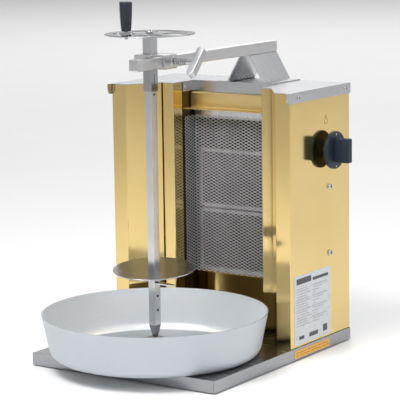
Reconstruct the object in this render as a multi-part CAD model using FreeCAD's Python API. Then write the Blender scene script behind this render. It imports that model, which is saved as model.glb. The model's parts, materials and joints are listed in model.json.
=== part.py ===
import FreeCAD, Part

import math
import os

# Vertical rotisserie broiler, counter-top, gas. All lengths in millimetres.
# Working frame: X = 0 is the middle plane of the cabinet, Y = 0 is the front plane of the two wings,
# +Y points to the back, Z = 0 is the surface the machine stands on. Before it is written, every
# shape is moved by FRAME_SHIFT, so that the origin is the bottom centre of the whole machine's box.

# ---- driving dimensions ----
SHEET = 1.2
BEND = 2.0
GAP = 0.3
SLIP = 0.05
# How far a cutting shape runs past the face it cuts, and how far a drill runs through a sheet.
PAST = 1.0
THROUGH = 10.0

# base tray and feet
FOOT_PROUD = 2.0
BASE_TOP = 23.5
BASE_HALF = 194.3
BASE_FRONT = -250.6
BACK = 208.0
BASE_SHEET = 1.5
FOOT_PLACES = [(sx * 172.0, y) for sx in (-1, 1) for y in (-228.0, 184.0)]
FOOT_LOW_R = 13.0
FOOT_HIGH_R = 11.0
FOOT_WELL_R = 6.5
FOOT_WELL = 6.0
FOOT_BORE = 2.6
BOSS_R = 6.0
BOSS_LOW = 14.0

# cabinet panels
BODY_HALF = 192.0
BODY_TOP = 480.5
WING_INNER = 161.8
REFLECTOR_END = (120.4, 57.0)
REAR_FLANGE = 24.0
STILE_OUTER = 122.4
STILE_INNER = 95.5
STILE_FACE = 59.8
STILE_BACK = 87.5
LINER_X = 97.2
LINER_FRONT = 68.0
LINER_BACK = 167.0

CROSS_FACE = 115.5
CROSS_LOW = 431.0
CROSS_HIGH = 459.0
BAND_FACE = 124.5
MESH_FACE = 121.0
MESH_HALF = 92.0
MESH_LOW = 118.0
MESH_HIGH = 417.0
MESH_BEND = 3.0
RAIL_TOP = 429.0
SKIRT_FACE = 126.0
SKIRT_TOP = 119.0
SKIRT_HALF = 90.0

# lid
FLANGE_X = 193.5
FLANGE_LOW = 461.5
EAR = 12.0
LID_BACK = BACK + 2.6
LIP_INNER = STILE_INNER - 0.4
LIP_X = LIP_INNER - SHEET
LIP_SCREW_Y = 96.0
LID_SCREW_Z = 470.6
LID_SCREW_Y = (26.5, 192.0)
SMALL_HOLE = 1.8

# back cover
REAR_SCREW_Z = (60.0, 250.0, 440.0)
REAR_SCREW_X = BODY_HALF - 14.0
SLOT_ROWS = 9
SLOT_FIRST = 300.0
SLOT_PITCH = 14.0
SLOT_SPREAD = 90.0
SLOT_LONG = 60.0
SLOT_R = 2.0
SHIELD_FRONT = 170.0

# burners
BURNER_HALF = 86.0
BURNER_FRONT = 130.0
BURNER_BACK = 168.0
TILE_DEEP = 11.0
TILE_HALF = 80.0
TILE_RIM = 6.0
BURNERS = {"lower": (122.0, 238.0), "upper": (242.0, 352.0)}
DEFLECTOR_TOP = MESH_HIGH + 6.0
MIXER_R = 11.0
MIXER_BORE = 9.5
MIXER_LONG = 40.0
MOUTH_LONG = 6.0
LINER_HOLE = 12.5

# gas line, valve and flame probe
GAS_LINE_Y = 155.5
INLET_X = 158.0
INLET_Z = 60.0
INLET_R = 10.48
INLET_END = 226.0
INLET_BORE = 7.0
INLET_HALF = 11.0
MANIFOLD = (150.0, 166.0, 148.0, 168.3, 160.0, 330.0)
PIPE_BORE = 4.0
JET_START = 131.0
JET_SEAT = 140.0
VALVE = (146.0, 172.0, 114.0, 164.0, 352.0, 382.0)
VALVE_CHAMBER = 158.0
SPRING_START = 161.5
SPRING_LONG = 8.0
SPRING_R = 6.6
STEM_R = 4.0
STEM_START = 161.6
STEM_COLLAR = 169.6
STEM_END = 207.5
SUPPLY_Y = 198.0
SUPPLY_LOW = INLET_Z + 10.0
SUPPLY_R = 6.0
PROBE_Y = 126.3
PROBE_Z = 140.0
PROBE_X = 164.0
PROBE_TUBE_R = 1.6

# angles and screws on the side panels
ANGLE_Y = 169.8
ANGLE_SHEET = 1.5
ANGLE_LOW = 168.4
ANGLE_HIGH = 312.0
SIDE_SCREW_Y = 136.0
SIDE_SCREW_Z = (177.0, 299.0)
SIDE_SCREW_HOLE = 3.2

# support arm and its stand
ARM_X = 27.0
ARM_SIDE = 20.0
ARM_WALL = 1.5
ARM_LOW = 532.0
ARM_FRONT = -230.0
ARM_BACK = 209.0
ARM_Z = ARM_LOW + ARM_SIDE / 2
BRACKET_FRONT = 115.0
BRACKET_SHEET = 2.0
BRACKET_BEND = 3.0
BRACKET_FOOT = 61.5
BRACKET_HEEL = 39.5
BRACKET_RIDGE = 10.5
BRACKET_STUDS = [(ARM_X + sx * 51.0, y) for sx in (-1, 1) for y in (132.0, 190.0)]
BRACKET_STUD_R = 2.4

# sliding head
SPIT_Y = -145.5
SLEEVE_SIDE = 25.0
SLEEVE_FRONT = -160.0
SLEEVE_BACK = -121.0
SLEEVE_RIGHT = ARM_X + SLEEVE_SIDE / 2
BLOCK_LEFT = -18.0
BLOCK_FRONT = -167.0
BLOCK_BACK = -124.0
BLOCK_LOW = ARM_Z - SLEEVE_SIDE / 2
BLOCK_HIGH = ARM_Z + SLEEVE_SIDE / 2
BUSH_R = 13.6
JOURNAL_R = 12.0

# clamp screw
CLAMP_Y = -130.0
CLAMP_R = 5.5
CLAMP_SLIP = 0.1
BOSS_OUTER = 8.0
BOSS_END = SLEEVE_RIGHT + 1.5
PAD_R = 4.2
PAD_LONG = 3.0
PAD_START = ARM_X + ARM_SIDE / 2 + SLIP
CLAMP_BAR_X = 79.0
CLAMP_BAR_LONG = 60.0
CLAMP_BAR_WIDE = 13.5
CLAMP_BAR_THICK = 14.0
CLAMP_BAR_TILT = 43.0
PLAIN_LONG = 12.0
THREAD_PITCH = 4.5
THREAD_DEEP = 1.4

# spit
SPIT_SIDE = 15.0
SPIT_TURN = -7.5
SPIT_TOP = 587.0
TAPER_TOP = 77.0
TIP_LOW = 45.5
TIP_R = 2.6
TUBE_WALL = 1.6
PLUG_HALF = SPIT_SIDE / 2 - TUBE_WALL - SLIP
COLLAR_SIDE = 18.5
LOWER_SLEEVE_LOW = 490.0
HOLE_PITCH = 25.0
FIRST_HOLE = 104.0
CROSS_HOLE_R = 2.4

# meat plate and its key
PLATE_R = 72.5
PLATE_Z = 176.0
PLATE_THICK = 2.0
PLATE_TILT = 4.5
PLATE_LOW_SIDE = -68.3
PLATE_HOLE = SPIT_SIDE / 2 + 0.4
PLATE_RISE = PLATE_R * math.sin(math.radians(PLATE_TILT))
SLIT_LONG = 19.0
SLIT_HALF = 0.6
KEY_Z = 152.5
KEY_R = 2.1
KEY_BACK = 9.5
KEY_REACH = 38.0
KEY_ROOT = 8.0
KEY_TIP = 4.0
KEY_THICK = 2.4

# handwheel and its handle
WHEEL_R = 78.5
WHEEL_Z = 588.0
WHEEL_THICK = 2.0
WHEEL_TOP = WHEEL_Z + WHEEL_THICK
OPENINGS = 5
OPENING_INNER = 27.0
OPENING_OUTER = 63.0
OPENING_SPAN = 25.0
OPENING_CORNER = 5.0
GRIP_AT = (-42.0, -11.0)
STUD_R = 3.0
STUD_HIGH = 6.0
NUT_SLIP = 0.1
WASHER_R = 7.0
WASHER_THICK = 1.0
WHEEL_NUT_ACROSS = 10.0
WHEEL_NUT_HIGH = 3.5
GRIP_TOP = 644.0
GRIP_BOTTOM = WHEEL_TOP + 3.0
GRIP_SIDES = 8
GRIP_BOLT_R = 3.0
GRIP_BOLT_LOW = WHEEL_Z - 9.0
GRIP_BOLT_HEAD = GRIP_TOP - 12.0
GRIP_BOLT_HEAD_R = 5.0

# drip pan
PAN_RIM = 200.0
PAN_RIM_Z = 100.8
PAN_FLOOR_R = 184.5
PAN_WALL = 1.8
PAN_FILLET = 20.0
CUP_TOP = 53.5
CUP_R = 17.0
CUP_FOOT_R = 26.0
CUP_BORE = 3.2

# control knob
KNOB_Y = 130.0
KNOB_Z = 367.0
KNOB_R = 34.0
KNOB_FRONT = 210.4
KNOB_END = 239.5
FLANGE_THICK = 7.0
HUB_LONG = 4.0
HUB_R = 17.0
RECESS_R = 20.5
RECESS_DEEP = 3.0
HOLLOW_DEEP = 1.0
RIM_WALL = 3.0
GRIP_HALF_TALL = 22.0
GRIP_HALF_THICK = 6.8
MARK_R = 1.4
STEM_HOLE = 7.0

# rating plate and edge sticker, as (front, back, low, high)
LABEL = (11.0, 138.0, 27.0, 153.0)
STICKER = (8.0, 130.0, 5.0, 19.0)
LABEL_THICK = 0.4
STICKER_THICK = 0.3

# Middle of the machine's box: knob end against the pan rim, inlet end against the pan rim.
FRAME_SHIFT = FreeCAD.Vector(
    -(KNOB_END - PAN_RIM) / 2, -(INLET_END + SPIT_Y - PAN_RIM) / 2, 0
)

X = FreeCAD.Vector(1, 0, 0)
Y = FreeCAD.Vector(0, 1, 0)
Z = FreeCAD.Vector(0, 0, 1)
ORIGIN = FreeCAD.Vector(0, 0, 0)


# ---- shape helpers ----
def box(x0, x1, y0, y1, z0, z1):
    return Part.makeBox(x1 - x0, y1 - y0, z1 - z0, FreeCAD.Vector(x0, y0, z0))


def cyl(radius, start, axis, length):
    return Part.makeCylinder(radius, length, FreeCAD.Vector(*start), axis)


def ring(outer, inner, start, axis, length):
    return cyl(outer, start, axis, length).cut(cyl(inner, start, axis, length))


def hexagon(across, start, axis, length):
    """A hexagonal bar, named by the distance across its flats."""
    corner = across / math.sqrt(3)
    points = [
        FreeCAD.Vector(corner * math.cos(k * math.pi / 3), corner * math.sin(k * math.pi / 3), 0)
        for k in range(7)
    ]
    bar = Part.Face(Part.makePolygon(points)).extrude(Z * length)
    bar.Placement = FreeCAD.Placement(FreeCAD.Vector(*start), FreeCAD.Rotation(Z, axis))
    return bar


def revolved(profile, centre_y=SPIT_Y):
    """A solid of revolution about the vertical axis at X = 0, from (radius, height) points."""
    points = [FreeCAD.Vector(r, 0, z) for r, z in profile]
    face = Part.Face(Part.makePolygon(points + points[:1]))
    solid = face.revolve(ORIGIN, Z, 360)
    return solid.translated(FreeCAD.Vector(0, centre_y, 0))


def all_of(shapes):
    """One solid made of pieces that are welded or moulded together."""
    whole = shapes[0]
    for shape in shapes[1:]:
        whole = whole.fuse(shape)
    return whole.removeSplitter()


def mirrored(shape):
    return shape.mirror(ORIGIN, X)


def both_sides(shape):
    return [shape, mirrored(shape)]


def vertical_edges(shape, test=lambda p: True):
    found = []
    for edge in shape.Edges:
        a, b = edge.Vertexes[0].Point, edge.Vertexes[-1].Point
        upright = abs(a.x - b.x) < 1e-6 and abs(a.y - b.y) < 1e-6 and abs(a.z - b.z) > 1
        if upright and test(a):
            found.append(edge)
    return found


def offset_chain(points, radius, shift):
    """Edges of a path with rounded corners, moved sideways by shift; right of travel is positive."""
    count = len(points)
    along = []
    for k in range(count - 1):
        step = points[k + 1] - points[k]
        along.append(step.normalize())
    side = [FreeCAD.Vector(u.y, -u.x, 0) for u in along]
    edges = []
    here = points[0] + side[0] * shift
    for k in range(1, count - 1):
        turn = math.acos(max(-1.0, min(1.0, along[k - 1].dot(along[k]))))
        reach = radius * math.tan(turn / 2)
        right = along[k - 1].cross(along[k]).z < 0
        sense = 1 if right else -1
        centre = points[k] - along[k - 1] * reach + side[k - 1] * (radius * sense)
        arc_radius = radius - shift * sense
        start = centre - side[k - 1] * (arc_radius * sense)
        end = centre - side[k] * (arc_radius * sense)
        middle = centre + (points[k] - centre).normalize() * arc_radius
        edges.append(Part.LineSegment(here, start).toShape())
        edges.append(Part.Arc(start, middle, end).toShape())
        here = end
    last = points[-1] + side[-1] * shift
    edges.append(Part.LineSegment(here, last).toShape())
    return edges


def folded_section(points, thickness=SHEET, bend=BEND):
    """The flat section of a folded sheet. The points are on its outer face, with the metal on the
    right of the direction of travel."""
    path = [FreeCAD.Vector(a, b, 0) for a, b in points]
    outer = offset_chain(path, bend, 0)
    inner = offset_chain(path, bend, thickness)
    caps = [
        Part.LineSegment(outer[0].Vertexes[0].Point, inner[0].Vertexes[0].Point).toShape(),
        Part.LineSegment(outer[-1].Vertexes[-1].Point, inner[-1].Vertexes[-1].Point).toShape(),
    ]
    wire = Part.Wire(Part.__sortEdges__(outer + inner + caps))
    return Part.Face(wire)


def folded_upright(points, z0, z1, thickness=SHEET, bend=BEND):
    """A folded sheet that stands upright: its section is in plan."""
    return folded_section(points, thickness, bend).extrude(Z * (z1 - z0)).translated(Z * z0)


def folded_across(points, x0, x1, thickness=SHEET, bend=BEND):
    """A folded sheet that runs across the machine: its section is given as (Y, Z) points."""
    solid = folded_section(points, thickness, bend).extrude(Z * (x1 - x0))
    solid = solid.rotated(ORIGIN, FreeCAD.Vector(1, 1, 1), 120)
    return solid.translated(X * x0)


def folded_along(points, y0, y1, thickness=SHEET, bend=BEND):
    """A folded sheet that runs front to back: its section is given as (X, Z) points."""
    solid = folded_section(points, thickness, bend).extrude(Z * (y1 - y0))
    solid = solid.rotated(ORIGIN, X, 90)
    return solid.translated(Y * y1)


def screw(seat, axis, head_r, head_high, shank_r, shank_long, dome=0.6):
    """A pan-head screw with a cross recess. The head stands on the seat, towards axis."""
    head = Part.makeCylinder(head_r, head_high)
    head = head.makeFillet(head_high * dome, [head.Edges[0]])
    slot = head_r * 0.22
    arm = head_r * 0.62
    depth = head_high * 0.45
    for wide, tall in ((arm, slot), (slot, arm)):
        cutter = Part.makeBox(2 * wide, 2 * tall, depth, FreeCAD.Vector(-wide, -tall, head_high - depth))
        head = head.cut(cutter)
    shank = Part.makeCylinder(shank_r, shank_long, FreeCAD.Vector(0, 0, -shank_long))
    whole = head.fuse(shank)
    whole.Placement = FreeCAD.Placement(FreeCAD.Vector(*seat), FreeCAD.Rotation(Z, axis))
    return whole


def drilled(shape, holes):
    """Cuts (radius, start, axis, length) holes."""
    for radius, start, axis, length in holes:
        shape = shape.cut(cyl(radius, start, axis, length))
    return shape


def pipe(points, radius, bend, bore=0.0):
    """A tube along straight runs joined by tangent arcs, in one plane."""
    path = [FreeCAD.Vector(*p) for p in points]
    edges = []
    here = path[0]
    for k in range(1, len(path) - 1):
        before = (path[k] - path[k - 1]).normalize()
        after = (path[k + 1] - path[k]).normalize()
        turn = math.acos(before.dot(after))
        reach = bend * math.tan(turn / 2)
        start = path[k] - before * reach
        end = path[k] + after * reach
        inward = (after - before).normalize()
        middle = path[k] + inward * (bend / math.cos(turn / 2) - bend)
        edges.append(Part.LineSegment(here, start).toShape())
        edges.append(Part.Arc(start, middle, end).toShape())
        here = end
    edges.append(Part.LineSegment(here, path[-1]).toShape())
    wire = Part.Wire(edges)
    direction = (path[1] - path[0]).normalize()

    def swept(r):
        section = Part.Wire(Part.makeCircle(r, path[0], direction))
        return wire.makePipeShell([section], True, True)

    solid = swept(radius)
    if bore:
        solid = solid.cut(swept(bore))
    return solid


def on_spit(shape):
    """Turns a shape drawn square to the axes, at X = 0 and Y = 0, onto the spit."""
    turned = shape.rotated(ORIGIN, Z, SPIT_TURN)
    return turned.translated(Y * SPIT_Y)


def square_bar(side, z0, z1, corner=0.8):
    half = side / 2
    bar = box(-half, half, -half, half, z0, z1)
    if corner:
        bar = bar.makeFillet(corner, vertical_edges(bar))
    return bar


# ---- base ----
def base_tray():
    """Upside-down tray with an open seam near each corner and a boss over each foot."""
    low = FOOT_PROUD
    corner = 1.2
    outer = box(-BASE_HALF, BASE_HALF, BASE_FRONT, BACK, low, BASE_TOP)
    outer = outer.makeFillet(corner, vertical_edges(outer))
    t = BASE_SHEET
    half = BASE_HALF - t
    tray = outer.cut(box(-half, half, BASE_FRONT + t, BACK - t, low - PAST, BASE_TOP - t))
    seam = 0.5
    seam_top = BASE_TOP - 3.0
    for sx in (-1, 1):
        left = sx * (half - seam) - seam / 2
        for y in (BASE_FRONT, BACK - t):
            tray = tray.cut(box(left, left + seam, y - PAST, y + t + PAST, low - PAST, seam_top))
    tall = BASE_TOP - t - BOSS_LOW
    bosses = [ring(BOSS_R, FOOT_BORE, (x, y, BOSS_LOW), Z, tall) for x, y in FOOT_PLACES]
    return all_of([tray] + bosses)


def rubber_feet():
    """Tapered rubber feet with a well for the screw head."""
    rounding = 1.2
    foot = Part.makeCone(FOOT_LOW_R, FOOT_HIGH_R, BOSS_LOW)
    foot = foot.makeFillet(rounding, [foot.Edges[2]])
    foot = foot.cut(cyl(FOOT_WELL_R, (0, 0, -PAST), Z, FOOT_WELL + PAST))
    foot = foot.cut(cyl(FOOT_BORE, ORIGIN, Z, BOSS_LOW + PAST))
    return [foot.translated(FreeCAD.Vector(x, y, 0)) for x, y in FOOT_PLACES]


def foot_screws():
    return [
        screw((x, y, FOOT_WELL), -Z, head_r=5.0, head_high=3.5, shank_r=2.5, shank_long=15.0)
        for x, y in FOOT_PLACES
    ]


# ---- cabinet panels ----
def side_panel(side):
    """Outer side, the front strip of the wing and the angled reflector, folded from one sheet."""
    path = [
        (BODY_HALF - REAR_FLANGE, BACK),
        (BODY_HALF, BACK),
        (BODY_HALF, 0.0),
        (WING_INNER, 0.0),
        REFLECTOR_END,
    ]
    panel = folded_upright(path, BASE_TOP, BODY_TOP - SHEET)
    start = BODY_HALF - THROUGH / 2
    holes = [(SIDE_SCREW_HOLE, (start, SIDE_SCREW_Y, z), X, THROUGH) for z in SIDE_SCREW_Z]
    holes += [(SMALL_HOLE, (start, y, LID_SCREW_Z), X, THROUGH) for y in LID_SCREW_Y]
    rear = BACK - THROUGH / 2
    holes += [(SMALL_HOLE, (REAR_SCREW_X, rear, z), Y, THROUGH) for z in REAR_SCREW_Z]
    if side > 0:
        holes.append((STEM_HOLE, (start, KNOB_Y, KNOB_Z), X, THROUGH))
    panel = drilled(panel, holes)
    return panel if side > 0 else mirrored(panel)


def recess_stiles():
    """Upright channels between the angled reflectors and the burner recess."""
    path = [
        (STILE_OUTER, STILE_BACK),
        (STILE_OUTER, STILE_FACE),
        (STILE_INNER, STILE_FACE),
        (STILE_INNER, STILE_BACK),
    ]
    return both_sides(folded_upright(path, BASE_TOP, BODY_TOP - SHEET))


def recess_liners():
    """Dark inner walls of the burner recess. The right one lets the burner inlets through."""
    wall = box(LINER_X, LINER_X + SHEET, LINER_FRONT, LINER_BACK, BASE_TOP, BODY_TOP - SHEET - GAP)
    start = LINER_X - PAST
    wall = drilled(wall, [(SMALL_HOLE, (start, LIP_SCREW_Y, LID_SCREW_Z), X, THROUGH)])
    holes = [(LINER_HOLE, (start, GAS_LINE_Y, burner_middle(b)), X, THROUGH) for b in BURNERS]
    probe_hole = 3.6
    holes.append((probe_hole, (start, PROBE_Y, PROBE_Z), X, THROUGH))
    return [mirrored(wall), drilled(wall, holes)]


def burner_middle(name):
    low, high = BURNERS[name]
    return (low + high) / 2


def top_cross_panel():
    """Folded panel across the top of the recess, under the lid's front band."""
    path = [
        (STILE_BACK + 2.0, CROSS_LOW),
        (CROSS_FACE, CROSS_LOW),
        (CROSS_FACE, CROSS_HIGH),
        (BAND_FACE - GAP, CROSS_HIGH),
    ]
    half = STILE_INNER - 0.6
    return folded_across(path, -half, half)


def bottom_cross_panel():
    """Folded skirt below the mesh guard."""
    deep = 9.0
    path = [
        (SKIRT_FACE + deep, BASE_TOP + GAP),
        (SKIRT_FACE, BASE_TOP + GAP),
        (SKIRT_FACE, SKIRT_TOP),
        (SKIRT_FACE + deep, SKIRT_TOP),
    ]
    return folded_across(path, -SKIRT_HALF, SKIRT_HALF)


def mesh_guard():
    """Outer shape of the expanded-metal guard: flat front and two returns that come forward."""
    front = STILE_BACK + 2.5
    path = [
        (-MESH_HALF, front),
        (-MESH_HALF, MESH_FACE),
        (MESH_HALF, MESH_FACE),
        (MESH_HALF, front),
    ]
    return folded_upright(path, MESH_LOW, MESH_HIGH, SHEET, MESH_BEND)


def mesh_rails():
    """Bright strip that holds the top of the guard, and the one behind its lower edge."""
    back = MESH_FACE + SHEET + 0.4
    behind = back + 2.2
    shelf = 20.0
    top = [(back, MESH_HIGH - 6.0), (back, RAIL_TOP), (back + shelf, RAIL_TOP)]
    low = [(behind, SKIRT_TOP + 0.6), (behind, SKIRT_TOP + 8.0)]
    half = MESH_HALF - 1.0
    upper = folded_across(top, -half, half)
    lower = folded_across(low, -BURNER_HALF, BURNER_HALF)
    return [upper, lower]


def lid():
    """Cover sheet with outer side flanges, a rear flange and the lip inside the recess."""
    top = BODY_TOP - SHEET
    wing_x = FLANGE_X - SHEET
    half = [
        (wing_x, LID_BACK),
        (wing_x, -0.6),
        (WING_INNER - 0.4, -0.6),
        (REFLECTOR_END[0] - 0.6, REFLECTOR_END[1] - 0.8),
        (STILE_OUTER, STILE_FACE - 0.6),
        (LIP_INNER, STILE_FACE - 0.6),
        (LIP_INNER, BAND_FACE),
    ]
    outline = half + [(-x, y) for x, y in reversed(half)]
    points = [FreeCAD.Vector(x, y, top) for x, y in outline]
    sheet = Part.Face(Part.makePolygon(points + points[:1])).extrude(Z * SHEET)
    pieces = [sheet]
    # side flanges, longer than the sheet at the front, with the lower front corner cut off
    corner = 9.0
    profile = [
        (-EAR, BODY_TOP),
        (LID_BACK, BODY_TOP),
        (LID_BACK, FLANGE_LOW),
        (-EAR + corner * 0.75, FLANGE_LOW),
        (-EAR + corner * 0.2, FLANGE_LOW + corner * 0.35),
        (-EAR, FLANGE_LOW + corner),
    ]
    points = [FreeCAD.Vector(wing_x, y, z) for y, z in profile]
    flange = Part.Face(Part.makePolygon(points + points[:1])).extrude(X * SHEET)
    pieces += both_sides(flange)
    pieces.append(box(-wing_x, wing_x, LID_BACK - SHEET, LID_BACK, FLANGE_LOW, top))
    band_low = CROSS_HIGH - 4.0
    pieces.append(box(-LIP_INNER, LIP_INNER, BAND_FACE, BAND_FACE + SHEET, band_low, top))
    lip = box(LIP_X, LIP_INNER, STILE_BACK + 1.5, BAND_FACE, FLANGE_LOW, BODY_TOP)
    pieces += both_sides(lip)
    cover = all_of(pieces)
    holes = []
    short = 4.0
    for sx in (-1, 1):
        outside = sx * (FLANGE_X + PAST)
        inside = sx * (LIP_X - PAST)
        holes += [(SMALL_HOLE, (outside, y, LID_SCREW_Z), -X * sx, short) for y in LID_SCREW_Y]
        holes.append((SMALL_HOLE, (inside, LIP_SCREW_Y, LID_SCREW_Z), X * sx, short))
    stud_hole = BRACKET_STUD_R + 0.4
    holes += [(stud_hole, (x, y, top - PAST), Z, short) for x, y in BRACKET_STUDS]
    return drilled(cover, holes)


def lid_screws():
    """Screws through the side flanges, and smaller ones through the lips in the recess."""
    screws = []
    for sx in (-1, 1):
        for y in LID_SCREW_Y:
            seat = (sx * FLANGE_X, y, LID_SCREW_Z)
            screws.append(screw(seat, X * sx, head_r=3.6, head_high=2.0, shank_r=1.75, shank_long=8.0))
        seat = (sx * LIP_X, LIP_SCREW_Y, LID_SCREW_Z)
        screws.append(screw(seat, X * -sx, head_r=3.2, head_high=1.8, shank_r=1.6, shank_long=6.0))
    return screws


def rear_panel():
    """Back cover with rows of cooling slots and the hole for the gas inlet."""
    half = BODY_HALF - 0.8
    panel = box(-half, half, BACK, BACK + SHEET, BASE_TOP + 1.0, BODY_TOP - SHEET - GAP)
    front = BACK - PAST
    for row in range(SLOT_ROWS):
        z = SLOT_FIRST + row * SLOT_PITCH
        for column in (-1, 0, 1):
            panel = panel.cut(cooling_slot(column * SLOT_SPREAD, front, z))
    inlet_hole = 11.0
    holes = [(inlet_hole, (INLET_X, front, INLET_Z), Y, THROUGH)]
    for z in REAR_SCREW_Z:
        holes += [(SMALL_HOLE, (sx * REAR_SCREW_X, front, z), Y, THROUGH) for sx in (-1, 1)]
    return drilled(panel, holes)


def cooling_slot(middle, front, z):
    half = SLOT_LONG / 2
    straight = box(middle - half, middle + half, front, front + THROUGH, z - SLOT_R, z + SLOT_R)
    ends = [cyl(SLOT_R, (middle + s * half, front, z), Y, THROUGH) for s in (-1, 1)]
    return all_of([straight] + ends)


def rear_screws():
    return [
        screw((sx * REAR_SCREW_X, BACK + SHEET, z), Y,
              head_r=3.6, head_high=1.4, shank_r=1.75, shank_long=8.0)
        for sx in (-1, 1)
        for z in REAR_SCREW_Z
    ]


def rear_heat_shield():
    """Flat sheet between the burners and the back cover; it stops short of the gas line."""
    left, right, low, high = -150.0, 140.0, 60.0, 455.0
    return box(left, right, SHIELD_FRONT, SHIELD_FRONT + 1.0, low, high)


# ---- burners and gas line ----
def burner_body(name):
    """Hollow gas box with a seat for the ceramic tiles in its open front."""
    low, high = BURNERS[name]
    t = SHEET
    body = box(-BURNER_HALF, BURNER_HALF, BURNER_FRONT, BURNER_BACK, low, high)
    seat = BURNER_FRONT + TILE_DEEP + 0.5
    rim = TILE_RIM
    body = body.cut(box(-TILE_HALF, TILE_HALF, BURNER_FRONT - PAST, seat, low + rim, high - rim))
    ledge = 3.0
    half = TILE_HALF - ledge
    rim += ledge
    body = body.cut(box(-half, half, seat - PAST, seat + ledge, low + rim, high - rim))
    inside = BURNER_HALF - t
    body = body.cut(box(-inside, inside, seat + t, BURNER_BACK - t, low + t, high - t))
    inlet = (BURNER_HALF - THROUGH / 2, GAS_LINE_Y, burner_middle(name))
    return drilled(body, [(MIXER_BORE, inlet, X, THROUGH)])


def burner_bodies():
    return [burner_body(name) for name in BURNERS]


def ceramic_tiles():
    """Two perforated ceramic tiles side by side in each burner."""
    front = BURNER_FRONT + 0.5
    back = BURNER_FRONT + TILE_DEEP + 0.5
    loose = 0.2
    rim = TILE_RIM + loose
    tiles = []
    for low, high in BURNERS.values():
        tiles += both_sides(box(loose, TILE_HALF - loose, front, back, low + rim, high - rim))
    return tiles


def heat_deflector():
    """Sloping plate above the upper burner that turns the heat back towards the spit."""
    foot = BURNERS["upper"][1] + 1.0
    back = BURNER_BACK - 2.0
    lean = 8.0
    path = [
        (back, foot),
        (BURNER_FRONT, foot),
        (BURNER_FRONT + lean, DEFLECTOR_TOP),
        (back, DEFLECTOR_TOP),
    ]
    return folded_across(path, -BURNER_HALF, BURNER_HALF)


def mixing_tubes():
    """Tubes that carry gas and air into the burners, with a flared mouth and a seat flange."""
    tubes = []
    for name in BURNERS:
        root = (BURNER_HALF, GAS_LINE_Y, burner_middle(name))
        end = FreeCAD.Vector(*root) + X * MIXER_LONG
        tube = ring(MIXER_R, MIXER_BORE, root, X, MIXER_LONG)
        mouth = Part.makeCone(MIXER_R, MIXER_R + 1.2, MOUTH_LONG, end, X)
        hollow = Part.makeCone(MIXER_BORE, MIXER_BORE + 1.7, MOUTH_LONG, end, X)
        flange = ring(MIXER_R + 1.0, MIXER_R, root, X, 1.5)
        tubes.append(all_of([tube, mouth.cut(hollow), flange]))
    return tubes


def gas_manifold():
    """Square bar bored from its top, with a side port for each jet."""
    left, low, high = MANIFOLD[0], MANIFOLD[4], MANIFOLD[5]
    floor = low + 8.0
    holes = [(PIPE_BORE, (INLET_X, GAS_LINE_Y, floor), Z, high - floor + PAST)]
    reach = INLET_X - left + PAST
    for name in BURNERS:
        holes.append((PIPE_BORE, (left - PAST, GAS_LINE_Y, burner_middle(name)), X, reach))
    return drilled(box(*MANIFOLD), holes)


def gas_injectors():
    """Brass jets that blow the gas into the mouths of the mixing tubes."""
    jets = []
    for name in BURNERS:
        tip = FreeCAD.Vector(JET_START, GAS_LINE_Y, burner_middle(name))
        seat = tip + X * (JET_SEAT - JET_START)
        wall = tip + X * (MANIFOLD[0] - JET_START)
        nose = Part.makeCone(3.0, 5.0, JET_SEAT - JET_START, tip, X)
        nut = hexagon(12.0, seat, X, MANIFOLD[0] - JET_SEAT)
        thread = cyl(PIPE_BORE - SLIP, wall, X, 5.0)
        jet = all_of([nut, nose, thread])
        jets.append(jet.cut(cyl(1.2, tip - X * PAST, X, 40.0)))
    return jets


def gas_valve_body():
    """Block with a nose for the stem, a chamber for the spring and a port to the gas bar."""
    body = box(*VALVE)
    body = body.makeFillet(2.0, [e for e in body.Edges if e.Length > 40])
    nose = cyl(9.0, (VALVE[1], KNOB_Y, KNOB_Z), X, 12.0)
    body = all_of([body, nose])
    chamber = (VALVE_CHAMBER, KNOB_Y, KNOB_Z)
    body = body.cut(cyl(STEM_R + SLIP, chamber, X, 40.0))
    body = body.cut(cyl(7.0, chamber, X, 16.0))
    return body.cut(cyl(PIPE_BORE, (INLET_X, GAS_LINE_Y, VALVE[4] - PAST), Z, 8.0 + PAST))


def valve_spring():
    """Return spring round the stem, drawn as the sleeve it fills."""
    return ring(SPRING_R, STEM_R + 0.4, (SPRING_START, KNOB_Y, KNOB_Z), X, SPRING_LONG)


def feed_pipe():
    return ring(PIPE_BORE + 1.0, PIPE_BORE, (INLET_X, GAS_LINE_Y, MANIFOLD[5]), Z, VALVE[4] - MANIFOLD[5])


def supply_pipe():
    """Tube from the valve to the back and straight down into the inlet block."""
    points = [
        (INLET_X, VALVE[3], KNOB_Z),
        (INLET_X, SUPPLY_Y, KNOB_Z),
        (INLET_X, SUPPLY_Y, SUPPLY_LOW),
    ]
    return pipe(points, SUPPLY_R, bend=12.0, bore=4.5)


def gas_inlet():
    """Elbow block inside the back cover, with the threaded spigot outside it."""
    low, high = INLET_Z - INLET_HALF, INLET_Z + 20.0
    front, back = SUPPLY_Y - 6.0, BACK - SHEET - 0.1
    block = box(INLET_X - INLET_HALF, INLET_X + INLET_HALF, front, back, low, high)
    block = block.makeFillet(2.0, vertical_edges(block))
    neck_start, shoulder = 200.0, BACK + 4.0
    neck = cyl(10.0, (INLET_X, neck_start, INLET_Z), Y, shoulder + 1.0 - neck_start)
    spigot = cyl(INLET_R, (INLET_X, shoulder, INLET_Z), Y, INLET_END - shoulder)
    whole = all_of([block, neck, spigot])
    elbow = (INLET_X, SUPPLY_Y, INLET_Z)
    whole = whole.cut(cyl(INLET_BORE, elbow, Y, INLET_END - SUPPLY_Y + PAST))
    return whole.cut(cyl(SUPPLY_R + SLIP, elbow, Z, high - INLET_Z + PAST))


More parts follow.
